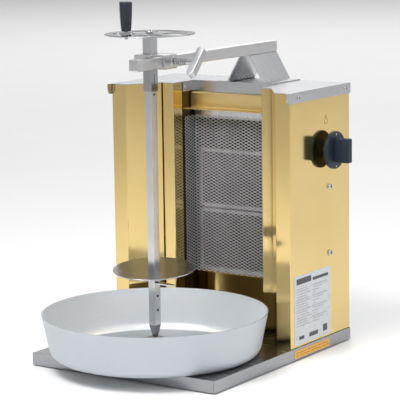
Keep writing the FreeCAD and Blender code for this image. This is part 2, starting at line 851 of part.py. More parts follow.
def thermocouple():
    """Flame probe in front of the lower tile, and its tube to the safety valve."""
    probe_start, probe_long, tube_start = 62.0, 45.0, 100.0
    probe = cyl(2.5, (probe_start, PROBE_Y, PROBE_Z), X, probe_long)
    points = [
        (tube_start, PROBE_Y, PROBE_Z),
        (PROBE_X, PROBE_Y, PROBE_Z),
        (PROBE_X, PROBE_Y, VALVE[4]),
    ]
    return all_of([probe, pipe(points, PROBE_TUBE_R, bend=14.0)])


def burner_brackets():
    """Angles that tie the burners, the back shield and the gas bar to the side panels."""
    inner = BODY_HALF - SHEET
    path = [(60.0, ANGLE_Y), (inner, ANGLE_Y), (inner, 122.0)]
    angle = folded_upright(path, ANGLE_LOW, ANGLE_HIGH, ANGLE_SHEET, bend=2.5)
    start = inner - THROUGH / 2
    holes = [(SIDE_SCREW_HOLE, (start, SIDE_SCREW_Y, z), X, THROUGH) for z in SIDE_SCREW_Z]
    return both_sides(drilled(angle, holes))


def side_screws():
    return [
        screw((sx * BODY_HALF, SIDE_SCREW_Y, z), X * sx,
              head_r=5.8, head_high=3.6, shank_r=2.95, shank_long=10.0)
        for sx in (-1, 1)
        for z in SIDE_SCREW_Z
    ]


def side_screw_nuts():
    thick = 5.0
    seat = BODY_HALF - SHEET - ANGLE_SHEET
    nuts = []
    for z in SIDE_SCREW_Z:
        nut = hexagon(10.0, (seat - thick, SIDE_SCREW_Y, z), X, thick)
        bore = cyl(3.0, (seat - thick - PAST, SIDE_SCREW_Y, z), X, THROUGH)
        nuts += both_sides(nut.cut(bore))
    return nuts


def hex_nuts():
    """Nuts inside the cabinet: on the side screws, and on the studs of the arm's stand."""
    return side_screw_nuts() + bracket_nuts()


def valve_mount():
    """Angle plate that hangs the gas valve from the right side panel."""
    inner = BODY_HALF - SHEET
    left, right, front, back, low, high = VALVE
    t = ANGLE_SHEET
    margin = 6.0
    plate = box(inner - t, inner, front - margin, back + 4.0, low - margin, high + margin)
    rear_arm = back + 1.0
    arms = [box(right, inner, y, y + t, low, high) for y in (front - 3.5, rear_arm)]
    foot = box(left + 4.0, right, back + 0.2, rear_arm + t, low, low + margin)
    whole = all_of([plate] + arms + [foot])
    return drilled(whole, [(10.0, (inner - THROUGH / 2, KNOB_Y, KNOB_Z), X, THROUGH)])


# ---- support arm ----
def arm_bracket():
    """Tent-shaped stand folded from one sheet, with welded studs under its feet."""
    foot_z = BODY_TOP + BRACKET_SHEET
    half = [(BRACKET_FOOT, foot_z), (BRACKET_HEEL, foot_z), (BRACKET_RIDGE, ARM_LOW)]
    path = [(ARM_X - x, z) for x, z in half] + [(ARM_X + x, z) for x, z in reversed(half)]
    tent = folded_along(path, BRACKET_FRONT, BACK, BRACKET_SHEET, BRACKET_BEND)
    low = BODY_TOP - 10.0
    weld = 0.5
    tall = BODY_TOP + weld - low
    studs = [cyl(BRACKET_STUD_R, (x, y, low), Z, tall) for x, y in BRACKET_STUDS]
    return all_of([tent] + studs)


def bracket_nuts():
    top = BODY_TOP - SHEET
    thick = 4.5
    nuts = []
    for x, y in BRACKET_STUDS:
        nut = hexagon(8.0, (x, y, top - thick), Z, thick)
        bore = cyl(BRACKET_STUD_R + SLIP, (x, y, top - thick - PAST), Z, THROUGH)
        nuts.append(nut.cut(bore))
    return nuts


def square_tube(side, wall, corner, x, z, y0, y1):
    """A square tube that runs front to back, centred on (x, z)."""
    half = side / 2
    outer = box(x - half, x + half, y0, y1, z - half, z + half)
    outer = outer.makeFillet(corner, [e for e in outer.Edges if abs(e.Length - (y1 - y0)) < 1e-6])
    inner = half - wall
    return outer.cut(box(x - inner, x + inner, y0 - PAST, y1 + PAST, z - inner, z + inner))


def support_arm():
    corner = 1.6
    return square_tube(ARM_SIDE, ARM_WALL, corner, ARM_X, ARM_Z, ARM_FRONT, ARM_BACK)


def arm_end_caps():
    """Plugs pressed into both ends of the arm."""
    head_thick, stem_long = 2.5, 12.0
    half = ARM_SIDE / 2 - 0.2
    inner = ARM_SIDE / 2 - ARM_WALL - SLIP
    caps = []
    for y, way in ((ARM_FRONT, -1), (ARM_BACK, 1)):
        near, far = sorted((y, y + way * head_thick))
        head = box(ARM_X - half, ARM_X + half, near, far, ARM_Z - half, ARM_Z + half)
        rim = [e for e in head.Edges if e.BoundBox.YLength < 0.01 and abs(e.CenterOfMass.y - y) > 1]
        head = head.makeFillet(2.0, rim)
        stem_near, stem_far = sorted((y, y - way * stem_long))
        stem = box(ARM_X - inner, ARM_X + inner, stem_near, stem_far, ARM_Z - inner, ARM_Z + inner)
        caps.append(head.fuse(stem))
    return caps


# ---- sliding head ----
def head_sleeve():
    """Square tube that slides on the arm, with a hole for the clamp screw in its right wall."""
    wall = SLEEVE_SIDE / 2 - ARM_SIDE / 2 - GAP
    corner = 2.5
    tube = square_tube(SLEEVE_SIDE, wall, corner, ARM_X, ARM_Z, SLEEVE_FRONT, SLEEVE_BACK)
    return tube.cut(cyl(CLAMP_R + CLAMP_SLIP, (ARM_X, CLAMP_Y, ARM_Z), X, SLEEVE_SIDE))


def bearing_block():
    """Solid block welded to the sleeve, bored for the bush."""
    right = ARM_X - SLEEVE_SIDE / 2
    half = SLEEVE_SIDE / 2
    block = box(BLOCK_LEFT, right, BLOCK_FRONT, BLOCK_BACK, ARM_Z - half, ARM_Z + half)
    block = block.makeFillet(1.8, [e for e in block.Edges if e.Length > 40])
    return block.cut(cyl(BUSH_R, (0, SPIT_Y, BLOCK_LOW - PAST), Z, SLEEVE_SIDE + 2 * PAST))


def bearing_bush():
    return ring(BUSH_R, JOURNAL_R + SLIP, (0, SPIT_Y, BLOCK_LOW), Z, SLEEVE_SIDE)


def clamp_boss():
    """Welded collar that the clamp screw runs in."""
    seat = (SLEEVE_RIGHT, CLAMP_Y, ARM_Z)
    return ring(BOSS_OUTER, CLAMP_R + CLAMP_SLIP, seat, X, BOSS_END - SLEEVE_RIGHT)


def clamp_pad():
    """Swivel pad on the inner end of the clamp screw, which bears on the arm."""
    return cyl(PAD_R, (PAD_START, CLAMP_Y, ARM_Z), X, PAD_LONG)


def clamp_screw():
    """Screw with a round-ended cross bar. The thread is cut as rings of its own pitch."""
    start = PAD_START + PAD_LONG + CLAMP_SLIP
    shank = cyl(CLAMP_R, (start, CLAMP_Y, ARM_Z), X, CLAMP_BAR_X - start + PAST)
    groove = THREAD_PITCH / 2
    first = BOSS_END + 0.8
    last = CLAMP_BAR_X - PLAIN_LONG - groove
    for k in range(math.ceil((last - first) / THREAD_PITCH)):
        seat = (first + k * THREAD_PITCH, CLAMP_Y, ARM_Z)
        shank = shank.cut(ring(CLAMP_R + PAST, CLAMP_R - THREAD_DEEP, seat, X, groove))
    wide = CLAMP_BAR_WIDE / 2
    end_r = CLAMP_BAR_THICK / 2
    half = CLAMP_BAR_LONG / 2 - end_r
    bar = box(0, CLAMP_BAR_THICK, -wide, wide, -half, half)
    ends = [cyl(end_r, (end_r, -wide, s * half), Y, CLAMP_BAR_WIDE) for s in (-1, 1)]
    bar = all_of([bar] + ends)
    rim = [e for e in bar.Edges if e.BoundBox.YLength < 0.01]
    bar = bar.makeFillet(1.2, rim)
    bar = bar.rotated(ORIGIN, X, -CLAMP_BAR_TILT)
    bar = bar.translated(FreeCAD.Vector(CLAMP_BAR_X, CLAMP_Y, ARM_Z))
    return all_of([shank, bar])


# ---- spit ----
def spit_holes():
    """Heights of the cross holes for the plate key, up from the point."""
    return [FIRST_HOLE, FIRST_HOLE + HOLE_PITCH, KEY_Z]


def spit_tube():
    """Square tube with cross holes for the plate key."""
    tube = square_bar(SPIT_SIDE, TAPER_TOP, SPIT_TOP)
    inner = SPIT_SIDE / 2 - TUBE_WALL
    tube = tube.cut(box(-inner, inner, -inner, inner, TAPER_TOP - PAST, SPIT_TOP + PAST))
    for z in spit_holes() + [LOWER_SLEEVE_LOW - 5.0]:
        tube = tube.cut(cyl(CROSS_HOLE_R, (-SPIT_SIDE, 0, z), X, 2 * SPIT_SIDE))
    return on_spit(tube)


def spit_point():
    """Forged point: a plug inside the tube, four tapered faces and a round pivot tip."""
    def square(side, z):
        corners = [(-side, -side), (side, -side), (side, side), (-side, side), (-side, -side)]
        return Part.makePolygon([FreeCAD.Vector(x, y, z) for x, y in corners])

    shoulder = TIP_LOW + 7.0
    ends = [square(TIP_R, shoulder), square(SPIT_SIDE / 2, TAPER_TOP)]
    body = all_of([
        square_bar(2 * PLUG_HALF, TAPER_TOP, TAPER_TOP + 18.0, 0),
        Part.makeLoft(ends, True, True),
        cyl(TIP_R, (0, 0, TIP_LOW), Z, 8.0),
    ])
    return on_spit(body)


def spit_sleeve(z0, z1, slot):
    """Square tube slipped over the spit; the lower one is slit so that it clamps."""
    sleeve = square_bar(COLLAR_SIDE, z0, z1, 1.2)
    inner = SPIT_SIDE / 2 + SLIP
    sleeve = sleeve.cut(box(-inner, inner, -inner, inner, z0 - PAST, z1 + PAST))
    if slot:
        wide, left_whole = 0.7, 8.0
        sleeve = sleeve.cut(box(inner - PAST, COLLAR_SIDE, -wide, wide, z0 - PAST, z1 - left_whole))
    return on_spit(sleeve)


def spit_journal():
    """Round journal that turns in the bush, with a square hole for the spit."""
    low, high = BLOCK_LOW - 1.0, BLOCK_HIGH + 1.0
    body = cyl(JOURNAL_R, (0, 0, low), Z, high - low)
    half = SPIT_SIDE / 2 + SLIP
    return on_spit(body.cut(box(-half, half, -half, half, low - PAST, high + PAST)))


def handwheel():
    """Thin disc with curved openings between its spokes."""
    disc = Part.makeCylinder(WHEEL_R, WHEEL_THICK)
    disc = disc.makeFillet(0.7, [disc.Edges[0], disc.Edges[2]])
    half_span = math.radians(OPENING_SPAN)
    grip_angle = math.atan2(GRIP_AT[1], GRIP_AT[0]) - math.radians(SPIT_TURN)
    for k in range(OPENINGS):
        middle = grip_angle + (k + 0.5) * 2 * math.pi / OPENINGS
        opening = ring_sector(OPENING_INNER, OPENING_OUTER, middle, half_span, OPENING_CORNER)
        disc = disc.cut(opening)
    disc = disc.cut(cyl(STUD_R + NUT_SLIP, (0, 0, -PAST), Z, THROUGH))
    reach = math.hypot(*GRIP_AT)
    hole = (reach * math.cos(grip_angle), reach * math.sin(grip_angle), -PAST)
    disc = disc.cut(cyl(GRIP_BOLT_R + SLIP, hole, Z, THROUGH))
    return on_spit(disc.translated(Z * WHEEL_Z))


def ring_sector(inner, outer, middle, half_span, corner):
    """Cutter for one opening: part of a flat ring with rounded corners."""
    def at(radius, angle):
        return FreeCAD.Vector(radius * math.cos(angle), radius * math.sin(angle), -PAST)

    a0, a1 = middle - half_span, middle + half_span
    edges = [
        Part.Arc(at(outer, a0), at(outer, middle), at(outer, a1)).toShape(),
        Part.LineSegment(at(outer, a1), at(inner, a1)).toShape(),
        Part.Arc(at(inner, a1), at(inner, middle), at(inner, a0)).toShape(),
        Part.LineSegment(at(inner, a0), at(outer, a0)).toShape(),
    ]
    solid = Part.Face(Part.Wire(edges)).extrude(Z * THROUGH)
    return solid.makeFillet(corner, vertical_edges(solid))


def wheel_stud_and_nut():
    """Plug in the top of the spit with a stud through the wheel, its washer and its nut."""
    plug = square_bar(2 * PLUG_HALF, SPIT_TOP - 15.0, WHEEL_Z, 0)
    stud = cyl(STUD_R, (0, 0, WHEEL_Z), Z, WHEEL_THICK + STUD_HIGH)
    bore = STUD_R + NUT_SLIP
    washer = ring(WASHER_R, bore, (0, 0, WHEEL_TOP), Z, WASHER_THICK)
    seat = WHEEL_TOP + WASHER_THICK
    nut = hexagon(WHEEL_NUT_ACROSS, (0, 0, seat), Z, WHEEL_NUT_HIGH)
    chamfer = Part.makeCone(6.6, 4.6, 4.5, FreeCAD.Vector(0, 0, seat - 0.5), Z)
    nut = nut.common(chamfer).cut(cyl(bore, (0, 0, WHEEL_TOP), Z, THROUGH))
    return [on_spit(s) for s in (plug.fuse(stud), washer, nut)]


def grip_point():
    return FreeCAD.Vector(GRIP_AT[0], SPIT_Y + GRIP_AT[1], 0)


def grip_bolt():
    """Bolt the handle turns on, with its collar washers above and below the wheel."""
    bore = GRIP_BOLT_R
    bolt = cyl(bore, (0, 0, GRIP_BOLT_LOW), Z, GRIP_BOLT_HEAD - GRIP_BOLT_LOW)
    head = cyl(GRIP_BOLT_HEAD_R, (0, 0, GRIP_BOLT_HEAD), Z, 3.0)
    upper = ring(11.5, bore, (0, 0, WHEEL_TOP), Z, 1.6)
    lower_thick, nut_thick = 1.8, 4.5
    lower = ring(10.5, bore, (0, 0, WHEEL_Z - lower_thick), Z, lower_thick)
    nut_low = WHEEL_Z - lower_thick - nut_thick
    nut = hexagon(10.0, (0, 0, nut_low), Z, nut_thick)
    nut = nut.cut(cyl(bore, (0, 0, nut_low - PAST), Z, THROUGH))
    where = grip_point()
    return [s.translated(where) for s in (bolt.fuse(head), upper, lower, nut)]


def crank_handle():
    """Faceted plastic grip, wider at its top, free on its bolt."""
    def section(radius, z):
        angles = [(k + 0.5) * 2 * math.pi / GRIP_SIDES for k in range(GRIP_SIDES + 1)]
        points = [FreeCAD.Vector(radius * math.cos(a), radius * math.sin(a), z) for a in angles]
        return Part.makePolygon(points)

    tall = GRIP_TOP - GRIP_BOTTOM
    levels = ((0.0, 8.6), (0.10, 9.3), (0.5, 10.9), (0.96, 11.6), (1.0, 10.4))
    sections = [section(r, GRIP_BOTTOM + part * tall) for part, r in levels]
    grip = Part.makeLoft(sections, True, True)
    grip = grip.cut(cyl(GRIP_BOLT_R + SLIP, (0, 0, GRIP_BOTTOM - PAST), Z, tall))
    head_room = 0.2
    pocket = (0, 0, GRIP_BOLT_HEAD - head_room)
    grip = grip.cut(cyl(GRIP_BOLT_HEAD_R + head_room, pocket, Z, 3.6))
    return grip.translated(grip_point())


# ---- meat plate and its key ----
def plate_tilted(shape):
    """Lean a shape at plate height the way the loose plate rests, in the spit's own axes."""
    low = math.radians(PLATE_LOW_SIDE - SPIT_TURN)
    axis = FreeCAD.Vector(-math.sin(low), math.cos(low), 0)
    return shape.rotated(Z * PLATE_Z, axis, PLATE_TILT)


def meat_plate():
    """Disc that leans on its key; its square hole and slits are cut straight down the spit."""
    disc = Part.makeCylinder(PLATE_R, PLATE_THICK)
    disc = disc.makeFillet(0.6, [disc.Edges[0], disc.Edges[2]])
    disc = plate_tilted(disc.translated(Z * PLATE_Z))
    half = PLATE_HOLE
    low, high = PLATE_Z - PLATE_RISE, PLATE_Z + PLATE_THICK + PLATE_RISE
    disc = disc.cut(box(-half, half, -half, half, low, high))
    for s in (-1, 1):
        near, far = sorted((s * (half - PAST), s * (half + SLIT_LONG)))
        disc = disc.cut(box(-SLIT_HALF, SLIT_HALF, near, far, low, high))
    return on_spit(disc)


def plate_collar():
    """Short square collar welded under the plate; it sits on the key."""
    low, high = KEY_Z + 2.7, PLATE_Z + PLATE_THICK
    half = PLATE_HOLE
    collar = square_bar(2 * half + 2 * SHEET, low, high, 1.0)
    collar = collar.cut(box(-half, half, -half, half, low - PAST, high + PAST))
    above_plate = plate_tilted(cyl(PLATE_R, (0, 0, PLATE_Z), Z, THROUGH))
    return on_spit(collar.cut(above_plate))


def plate_key():
    """Cross pin with a tapered thumb blade."""
    near, far = KEY_BACK, KEY_BACK + KEY_REACH
    pin = cyl(KEY_R, (-near, 0, KEY_Z), X, 2 * near + PAST)
    corners = [(near, -KEY_ROOT), (far, -KEY_TIP), (far, KEY_TIP), (near, KEY_ROOT), (near, -KEY_ROOT)]
    outline = Part.makePolygon([FreeCAD.Vector(x, y, KEY_Z - KEY_THICK / 2) for x, y in corners])
    blade = Part.Face(outline).extrude(Z * KEY_THICK)
    ends = vertical_edges(blade, lambda p: p.x > near + PAST)
    blade = blade.makeFillet(2.5, ends)
    return on_spit(pin.fuse(blade))


# ---- drip pan ----
def drip_pan():
    """Spun pan with a flared wall, a rolled rim and the pivot cup in its middle."""
    low = BASE_TOP + GAP
    slope = math.atan2(PAN_RIM - PAN_FLOOR_R, PAN_RIM_Z - low)
    run = PAN_FILLET * math.tan((math.pi / 2 - slope) / 2)
    centre = FreeCAD.Vector(PAN_FLOOR_R - run, 0, low + PAN_FILLET)

    def skin(inset):
        """Outer skin, or the inner one, from the rim down the wall to the middle."""
        radius = PAN_FILLET - inset
        wall_dir = FreeCAD.Vector(math.sin(slope), 0, math.cos(slope))
        outward = FreeCAD.Vector(math.cos(slope), 0, -math.sin(slope))
        wall_end = centre + outward * radius
        floor_end = centre - Z * radius
        bisect = (outward - Z).normalize()
        middle = centre + bisect * radius
        rim = wall_end + wall_dir * ((PAN_RIM_Z - wall_end.z) / wall_dir.z)
        return rim, wall_end, middle, floor_end

    rim_o, wall_o, mid_o, floor_o = skin(0)
    rim_i, wall_i, mid_i, floor_i = skin(PAN_WALL)
    axis_o = FreeCAD.Vector(0, 0, floor_o.z)
    axis_i = FreeCAD.Vector(0, 0, floor_i.z)
    edges = [
        Part.LineSegment(rim_o, wall_o).toShape(),
        Part.Arc(wall_o, mid_o, floor_o).toShape(),
        Part.LineSegment(floor_o, axis_o).toShape(),
        Part.LineSegment(axis_o, axis_i).toShape(),
        Part.LineSegment(axis_i, floor_i).toShape(),
        Part.Arc(floor_i, mid_i, wall_i).toShape(),
        Part.LineSegment(wall_i, rim_i).toShape(),
        Part.LineSegment(rim_i, rim_o).toShape(),
    ]
    pan = Part.Face(Part.Wire(edges)).revolve(ORIGIN, Z, 360)
    return pan.translated(Y * SPIT_Y)


def pivot_cup():
    """Turned cup fixed to the pan floor; the spit's tip runs in it."""
    low = BASE_TOP + GAP + PAN_WALL
    edge = 1.5
    seat = TIP_LOW - 1.5
    profile = [
        (0, low), (CUP_FOOT_R, low), (CUP_FOOT_R, low + 2.5), (CUP_R, low + 4.5),
        (CUP_R, CUP_TOP - edge), (CUP_R - edge, CUP_TOP), (6.5, CUP_TOP),
        (CUP_BORE, CUP_TOP - 3.0), (CUP_BORE, seat), (0, seat),
    ]
    return revolved(profile)


# ---- control knob ----
def knob():
    """Round flange with a shallow recess, an upright grip bar and a hub behind it."""
    back = KNOB_FRONT - FLANGE_THICK

    def on_axis(radius, x, length):
        return cyl(radius, (x, KNOB_Y, KNOB_Z), X, length)

    disc = on_axis(KNOB_R, back, FLANGE_THICK)
    rim = [e for e in disc.Edges if e.BoundBox.XLength < 0.01 and e.CenterOfMass.x > back + 1]
    disc = disc.makeFillet(1.6, rim)
    disc = disc.cut(on_axis(RECESS_R, KNOB_FRONT - RECESS_DEEP, THROUGH))
    hollow = ring(KNOB_R - RIM_WALL, HUB_R, (back - PAST, KNOB_Y, KNOB_Z), X, HOLLOW_DEEP + PAST)
    disc = disc.cut(hollow).fuse(on_axis(HUB_R, back - HUB_LONG, HUB_LONG + HOLLOW_DEEP))
    root = KNOB_FRONT - 4.0
    grip = box(root, KNOB_END, KNOB_Y - GRIP_HALF_THICK, KNOB_Y + GRIP_HALF_THICK,
               KNOB_Z - GRIP_HALF_TALL, KNOB_Z + GRIP_HALF_TALL)
    grip = grip.makeFillet(2.6, [e for e in grip.Edges if e.CenterOfMass.x > root + PAST])
    start = back - HUB_LONG - PAST
    whole = all_of([disc, grip]).cut(on_axis(STEM_R, start, STEM_END + 0.5 - start))
    for mark in knob_marks():
        whole = whole.cut(mark)
    return whole


def knob_marks():
    """Two small inlaid dots, one each side of the grip."""
    out = KNOB_R - 5.0
    return [cyl(MARK_R, (KNOB_FRONT - 0.6, KNOB_Y, KNOB_Z + s * out), X, 0.8) for s in (-1, 1)]


def valve_stem():
    """Round stem with the collar that the spring pushes on."""
    stem = cyl(STEM_R - SLIP, (STEM_START, KNOB_Y, KNOB_Z), X, STEM_END - STEM_START)
    return stem.fuse(cyl(SPRING_R, (STEM_COLLAR, KNOB_Y, KNOB_Z), X, 2.0))


# ---- plates and stickers ----
def rating_label():
    return box(BODY_HALF, BODY_HALF + LABEL_THICK, *LABEL)


def edge_sticker():
    return box(BASE_HALF, BASE_HALF + STICKER_THICK, *STICKER)


NODES = {
    "base_tray": base_tray,
    "rubber_feet": rubber_feet,
    "foot_screws": foot_screws,
    "left_side_panel": lambda: side_panel(-1),
    "right_side_panel": lambda: side_panel(1),
    "recess_stiles": recess_stiles,
    "recess_liners": recess_liners,
    "top_cross_panel": top_cross_panel,
    "bottom_cross_panel": bottom_cross_panel,
    "mesh_guard": mesh_guard,
    "mesh_rails": mesh_rails,
    "lid": lid,
    "lid_screws": lid_screws,
    "rear_panel": rear_panel,
    "rear_screws": rear_screws,
    "rear_heat_shield": rear_heat_shield,
    "burner_bodies": burner_bodies,
    "ceramic_tiles": ceramic_tiles,
    "heat_deflector": heat_deflector,
    "mixing_tubes": mixing_tubes,
    "gas_manifold": gas_manifold,
    "gas_injectors": gas_injectors,
    "gas_valve_body": gas_valve_body,
    "valve_spring": valve_spring,
    "valve_mount": valve_mount,
    "feed_pipe": feed_pipe,
    "supply_pipe": supply_pipe,
    "gas_inlet": gas_inlet,
    "thermocouple": thermocouple,
    "burner_brackets": burner_brackets,
    "side_screws": side_screws,
    "arm_bracket": arm_bracket,
    "hex_nuts": hex_nuts,
    "support_arm": support_arm,
    "arm_end_caps": arm_end_caps,
    "head_sleeve": head_sleeve,
    "bearing_block": bearing_block,
    "bearing_bush": bearing_bush,
    "clamp_boss": clamp_boss,
    "clamp_pad": clamp_pad,
    "clamp_screw": clamp_screw,
    "spit_tube": spit_tube,
    "spit_point": spit_point,
    "upper_sleeve": lambda: spit_sleeve(BLOCK_HIGH + 1.0, WHEEL_Z, False),
    "lower_sleeve": lambda: spit_sleeve(LOWER_SLEEVE_LOW, BLOCK_LOW - 1.0, True),
    "spit_journal": spit_journal,
    "handwheel": handwheel,
    "wheel_fixings": wheel_stud_and_nut,
    "grip_bolt": grip_bolt,
    "crank_handle": crank_handle,
    "meat_plate": meat_plate,
    "plate_collar": plate_collar,
    "plate_key": plate_key,
    "drip_pan": drip_pan,
    "pivot_cup": pivot_cup,
    "knob": knob,
    "knob_marks": knob_marks,
    "valve_stem": valve_stem,
    "rating_label": rating_label,
    "edge_sticker": edge_sticker,
}


def main():
    os.makedirs("parts", exist_ok=True)
    for name, make in NODES.items():
        made = make()
        solids = made if isinstance(made, list) else [made]
        flat = []
        for shape in solids:
            flat += shape.Solids
        shape = flat[0] if len(flat) == 1 else Part.makeCompound(flat)
        shape.translate(FRAME_SHIFT)
        if not shape.isValid():
            print("invalid shape:", name)
        shape.exportStep("parts/" + name + ".step")


main()
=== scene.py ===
import json
import math

import bpy
from mathutils import Matrix, Vector


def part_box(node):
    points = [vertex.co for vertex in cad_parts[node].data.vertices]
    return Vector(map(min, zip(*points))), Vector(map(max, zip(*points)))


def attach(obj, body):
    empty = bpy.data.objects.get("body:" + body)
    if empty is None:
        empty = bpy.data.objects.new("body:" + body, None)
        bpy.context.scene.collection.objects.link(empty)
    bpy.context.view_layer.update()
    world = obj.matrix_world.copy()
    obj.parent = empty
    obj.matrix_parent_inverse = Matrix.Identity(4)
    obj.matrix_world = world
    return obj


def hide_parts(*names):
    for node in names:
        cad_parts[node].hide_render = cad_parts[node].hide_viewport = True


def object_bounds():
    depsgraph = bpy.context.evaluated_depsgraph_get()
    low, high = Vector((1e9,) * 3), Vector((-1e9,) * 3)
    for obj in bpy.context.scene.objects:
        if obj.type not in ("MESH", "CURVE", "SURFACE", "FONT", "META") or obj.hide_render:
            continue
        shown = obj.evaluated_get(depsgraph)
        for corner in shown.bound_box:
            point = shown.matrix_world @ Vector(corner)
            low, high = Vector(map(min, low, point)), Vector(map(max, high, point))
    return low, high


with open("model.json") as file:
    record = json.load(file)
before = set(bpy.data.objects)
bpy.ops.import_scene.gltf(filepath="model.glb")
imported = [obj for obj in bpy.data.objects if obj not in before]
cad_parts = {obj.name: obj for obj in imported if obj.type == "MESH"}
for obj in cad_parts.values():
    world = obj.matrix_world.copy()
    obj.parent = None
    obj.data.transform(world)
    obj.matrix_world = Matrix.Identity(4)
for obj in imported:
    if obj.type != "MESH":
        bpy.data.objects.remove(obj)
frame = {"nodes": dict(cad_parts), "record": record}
cad_low, cad_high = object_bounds()

MM = 0.001
CENTRE = (cad_low + cad_high) / 2

# ---- places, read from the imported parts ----
lid_low, lid_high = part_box("lid")
side_low, side_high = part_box("right_side_panel")
MIDDLE_X = (lid_low.x + lid_high.x) / 2
FRONT_Y = side_low.y
SIDE_X = side_high.x


def at(x, y, z):
    """Row-frame point from millimetres off the cabinet's middle plane, its wing fronts and the ground."""
    return Vector((MIDDLE_X + x * MM, FRONT_Y + y * MM, z * MM))


# ---- shader helpers ----
NOISE_LOW = 0.3
NOISE_HIGH = 0.7
EDGE_LOW = 0.02
EDGE_HIGH = 0.35
BEVEL_SAMPLES = 4
SHADE_SAMPLES = 6
# heights of the bumps, in metres
GRAIN_DEPTH = 0.0002
PEEL_DEPTH = 0.0003
WRINKLE_DEPTH = 0.0004
HOLE_DEPTH = 0.0006
SWELL_DEPTH = 0.004


def add(tree, kind, inputs=None, **settings):
    """One shader node. Inputs are numbers, or sockets to link from."""
    made = tree.nodes.new("ShaderNode" + kind)
    for name, value in settings.items():
        setattr(made, name, value)
    for name, value in (inputs or {}).items():
        if isinstance(value, bpy.types.NodeSocket):
            tree.links.new(value, made.inputs[name])
        else:
            made.inputs[name].default_value = value
    return made


def start(name, **values):
    """New material with its principled shader and its coordinates."""
    material = bpy.data.materials.new(name)
    material.use_nodes = True
    tree = material.node_tree
    shader = tree.nodes["Principled BSDF"]
    for key, value in values.items():
        shader.inputs[key.replace("_", " ")].default_value = value
    place = add(tree, "TexCoord").outputs["Object"]
    return material, tree, shader, place


def scaled(tree, place, scale):
    """Coordinates multiplied by a scale for each axis."""
    return add(tree, "Mapping", {"Vector": place, "Scale": scale}).outputs["Vector"]


def noise(tree, place, scale, detail=3.0, rough=0.5):
    """Value of a noise texture."""
    made = add(tree, "TexNoise", {"Vector": place, "Scale": scale, "Detail": detail, "Roughness": rough})
    return made.outputs["Fac"]


def spread(tree, value, low, high, to_low, to_high):
    """Maps value from low..high to to_low..to_high, held at the ends."""
    inputs = {"Value": value, "From Min": low, "From Max": high, "To Min": to_low, "To Max": to_high}
    return add(tree, "MapRange", inputs).outputs["Result"]


def ranged(tree, value, limits):
    """Maps the middle range of a noise onto limits, held at the ends."""
    return spread(tree, value, NOISE_LOW, NOISE_HIGH, limits[0], limits[1])


def blended(tree, share, first, second):
    """Colour between first and second."""
    made = add(tree, "Mix", data_type="RGBA")
    tree.links.new(share, made.inputs[0])
    for socket, value in ((made.inputs[6], first), (made.inputs[7], second)):
        if isinstance(value, bpy.types.NodeSocket):
            tree.links.new(value, socket)
        else:
            socket.default_value = (*value, 1.0)
    return made.outputs[2]


def math_node(tree, operation, first, second=0.0):
    """Result of a Math node whose inputs are numbers or sockets."""
    made = add(tree, "Math", operation=operation)
    for socket, value in zip(made.inputs, (first, second)):
        if isinstance(value, bpy.types.NodeSocket):
            tree.links.new(value, socket)
        else:
            socket.default_value = value
    return made.outputs[0]


def bumped(tree, height, strength, depth, normal=None):
    """Normal tilted by a height texture, on top of a given normal if there is one."""
    inputs = {"Height": height, "Strength": strength, "Distance": depth}
    if normal is not None:
        inputs["Normal"] = normal
    return add(tree, "Bump", inputs).outputs["Normal"]


def worn_edges(tree, radius):
    """Mask that rises from 0 on flat faces to 1 on sharp edges, and the normal rounded over the edges."""
    soft = add(tree, "Bevel", {"Radius": radius}, samples=BEVEL_SAMPLES).outputs["Normal"]
    hard = add(tree, "NewGeometry").outputs["Normal"]
    dot = add(tree, "VectorMath", {0: soft, 1: hard}, operation="DOT_PRODUCT").outputs["Value"]
    bent = math_node(tree, "SUBTRACT", 1.0, dot)
    return spread(tree, bent, EDGE_LOW, EDGE_HIGH, 0.0, 1.0), soft


def metal(name, colour, tint, rough, patch, streak=(60, 60, 60), grain=0.0, wave=0.0,
          edge=None, edge_radius=0.0006, smudge=0.06):
    """Sheet or bar metal: two close tints in patches, streaks, smudges, rolled-in waviness, worn edges."""
    material, tree, shader, place = start(name, Metallic=1.0)
    patches = noise(tree, place, patch)
    tone = blended(tree, spread(tree, patches, 0.35, 0.65, 0.0, 1.0), colour, tint)
    streaks = noise(tree, scaled(tree, place, streak), 1.0, 5.0, 0.6)
    marks = noise(tree, place, 38.0, 6.0, 0.65)
    smudged = spread(tree, marks, 0.52, 0.75, 0.0, smudge)
    rubbed = math_node(tree, "ADD", ranged(tree, streaks, rough), smudged)
    tree.links.new(rubbed, shader.inputs["Roughness"])
    mask, soft = worn_edges(tree, edge_radius)
    worn = edge or tuple(min(1.0, c * 1.18 + 0.03) for c in colour)
    tree.links.new(blended(tree, mask, tone, worn), shader.inputs["Base Color"])
    normal = soft
    if wave:
        swell = noise(tree, scaled(tree, place, (1.0, 1.0, 0.45)), 9.0, 1.0, 0.4)
        normal = bumped(tree, swell, wave, SWELL_DEPTH, normal)
    if grain:
        lines = noise(tree, scaled(tree, place, streak), 3.0, 4.0, 0.7)
        normal = bumped(tree, lines, grain, GRAIN_DEPTH, normal)
    tree.links.new(normal, shader.inputs["Normal"])
    return material


def gold():
    """Gold-coloured polished sheet: near mirror, slightly wavy, faint wiping marks."""
    return metal("gold_sheet", (0.76, 0.575, 0.25), (0.73, 0.54, 0.225), (0.07, 0.13), streak=(220, 220, 12),
                 patch=7.0, wave=0.14, edge=(0.62, 0.47, 0.20), edge_radius=0.0007, smudge=0.05)


def gold_dull():
    """The same sheet where handling has dulled it, so that it mirrors less sharply."""
    return metal("gold_dull", (0.80, 0.62, 0.29), (0.76, 0.58, 0.26), (0.30, 0.40), streak=(12, 220, 220),
                 patch=7.0, wave=0.06, edge=(0.62, 0.47, 0.20), edge_radius=0.0007, smudge=0.05)


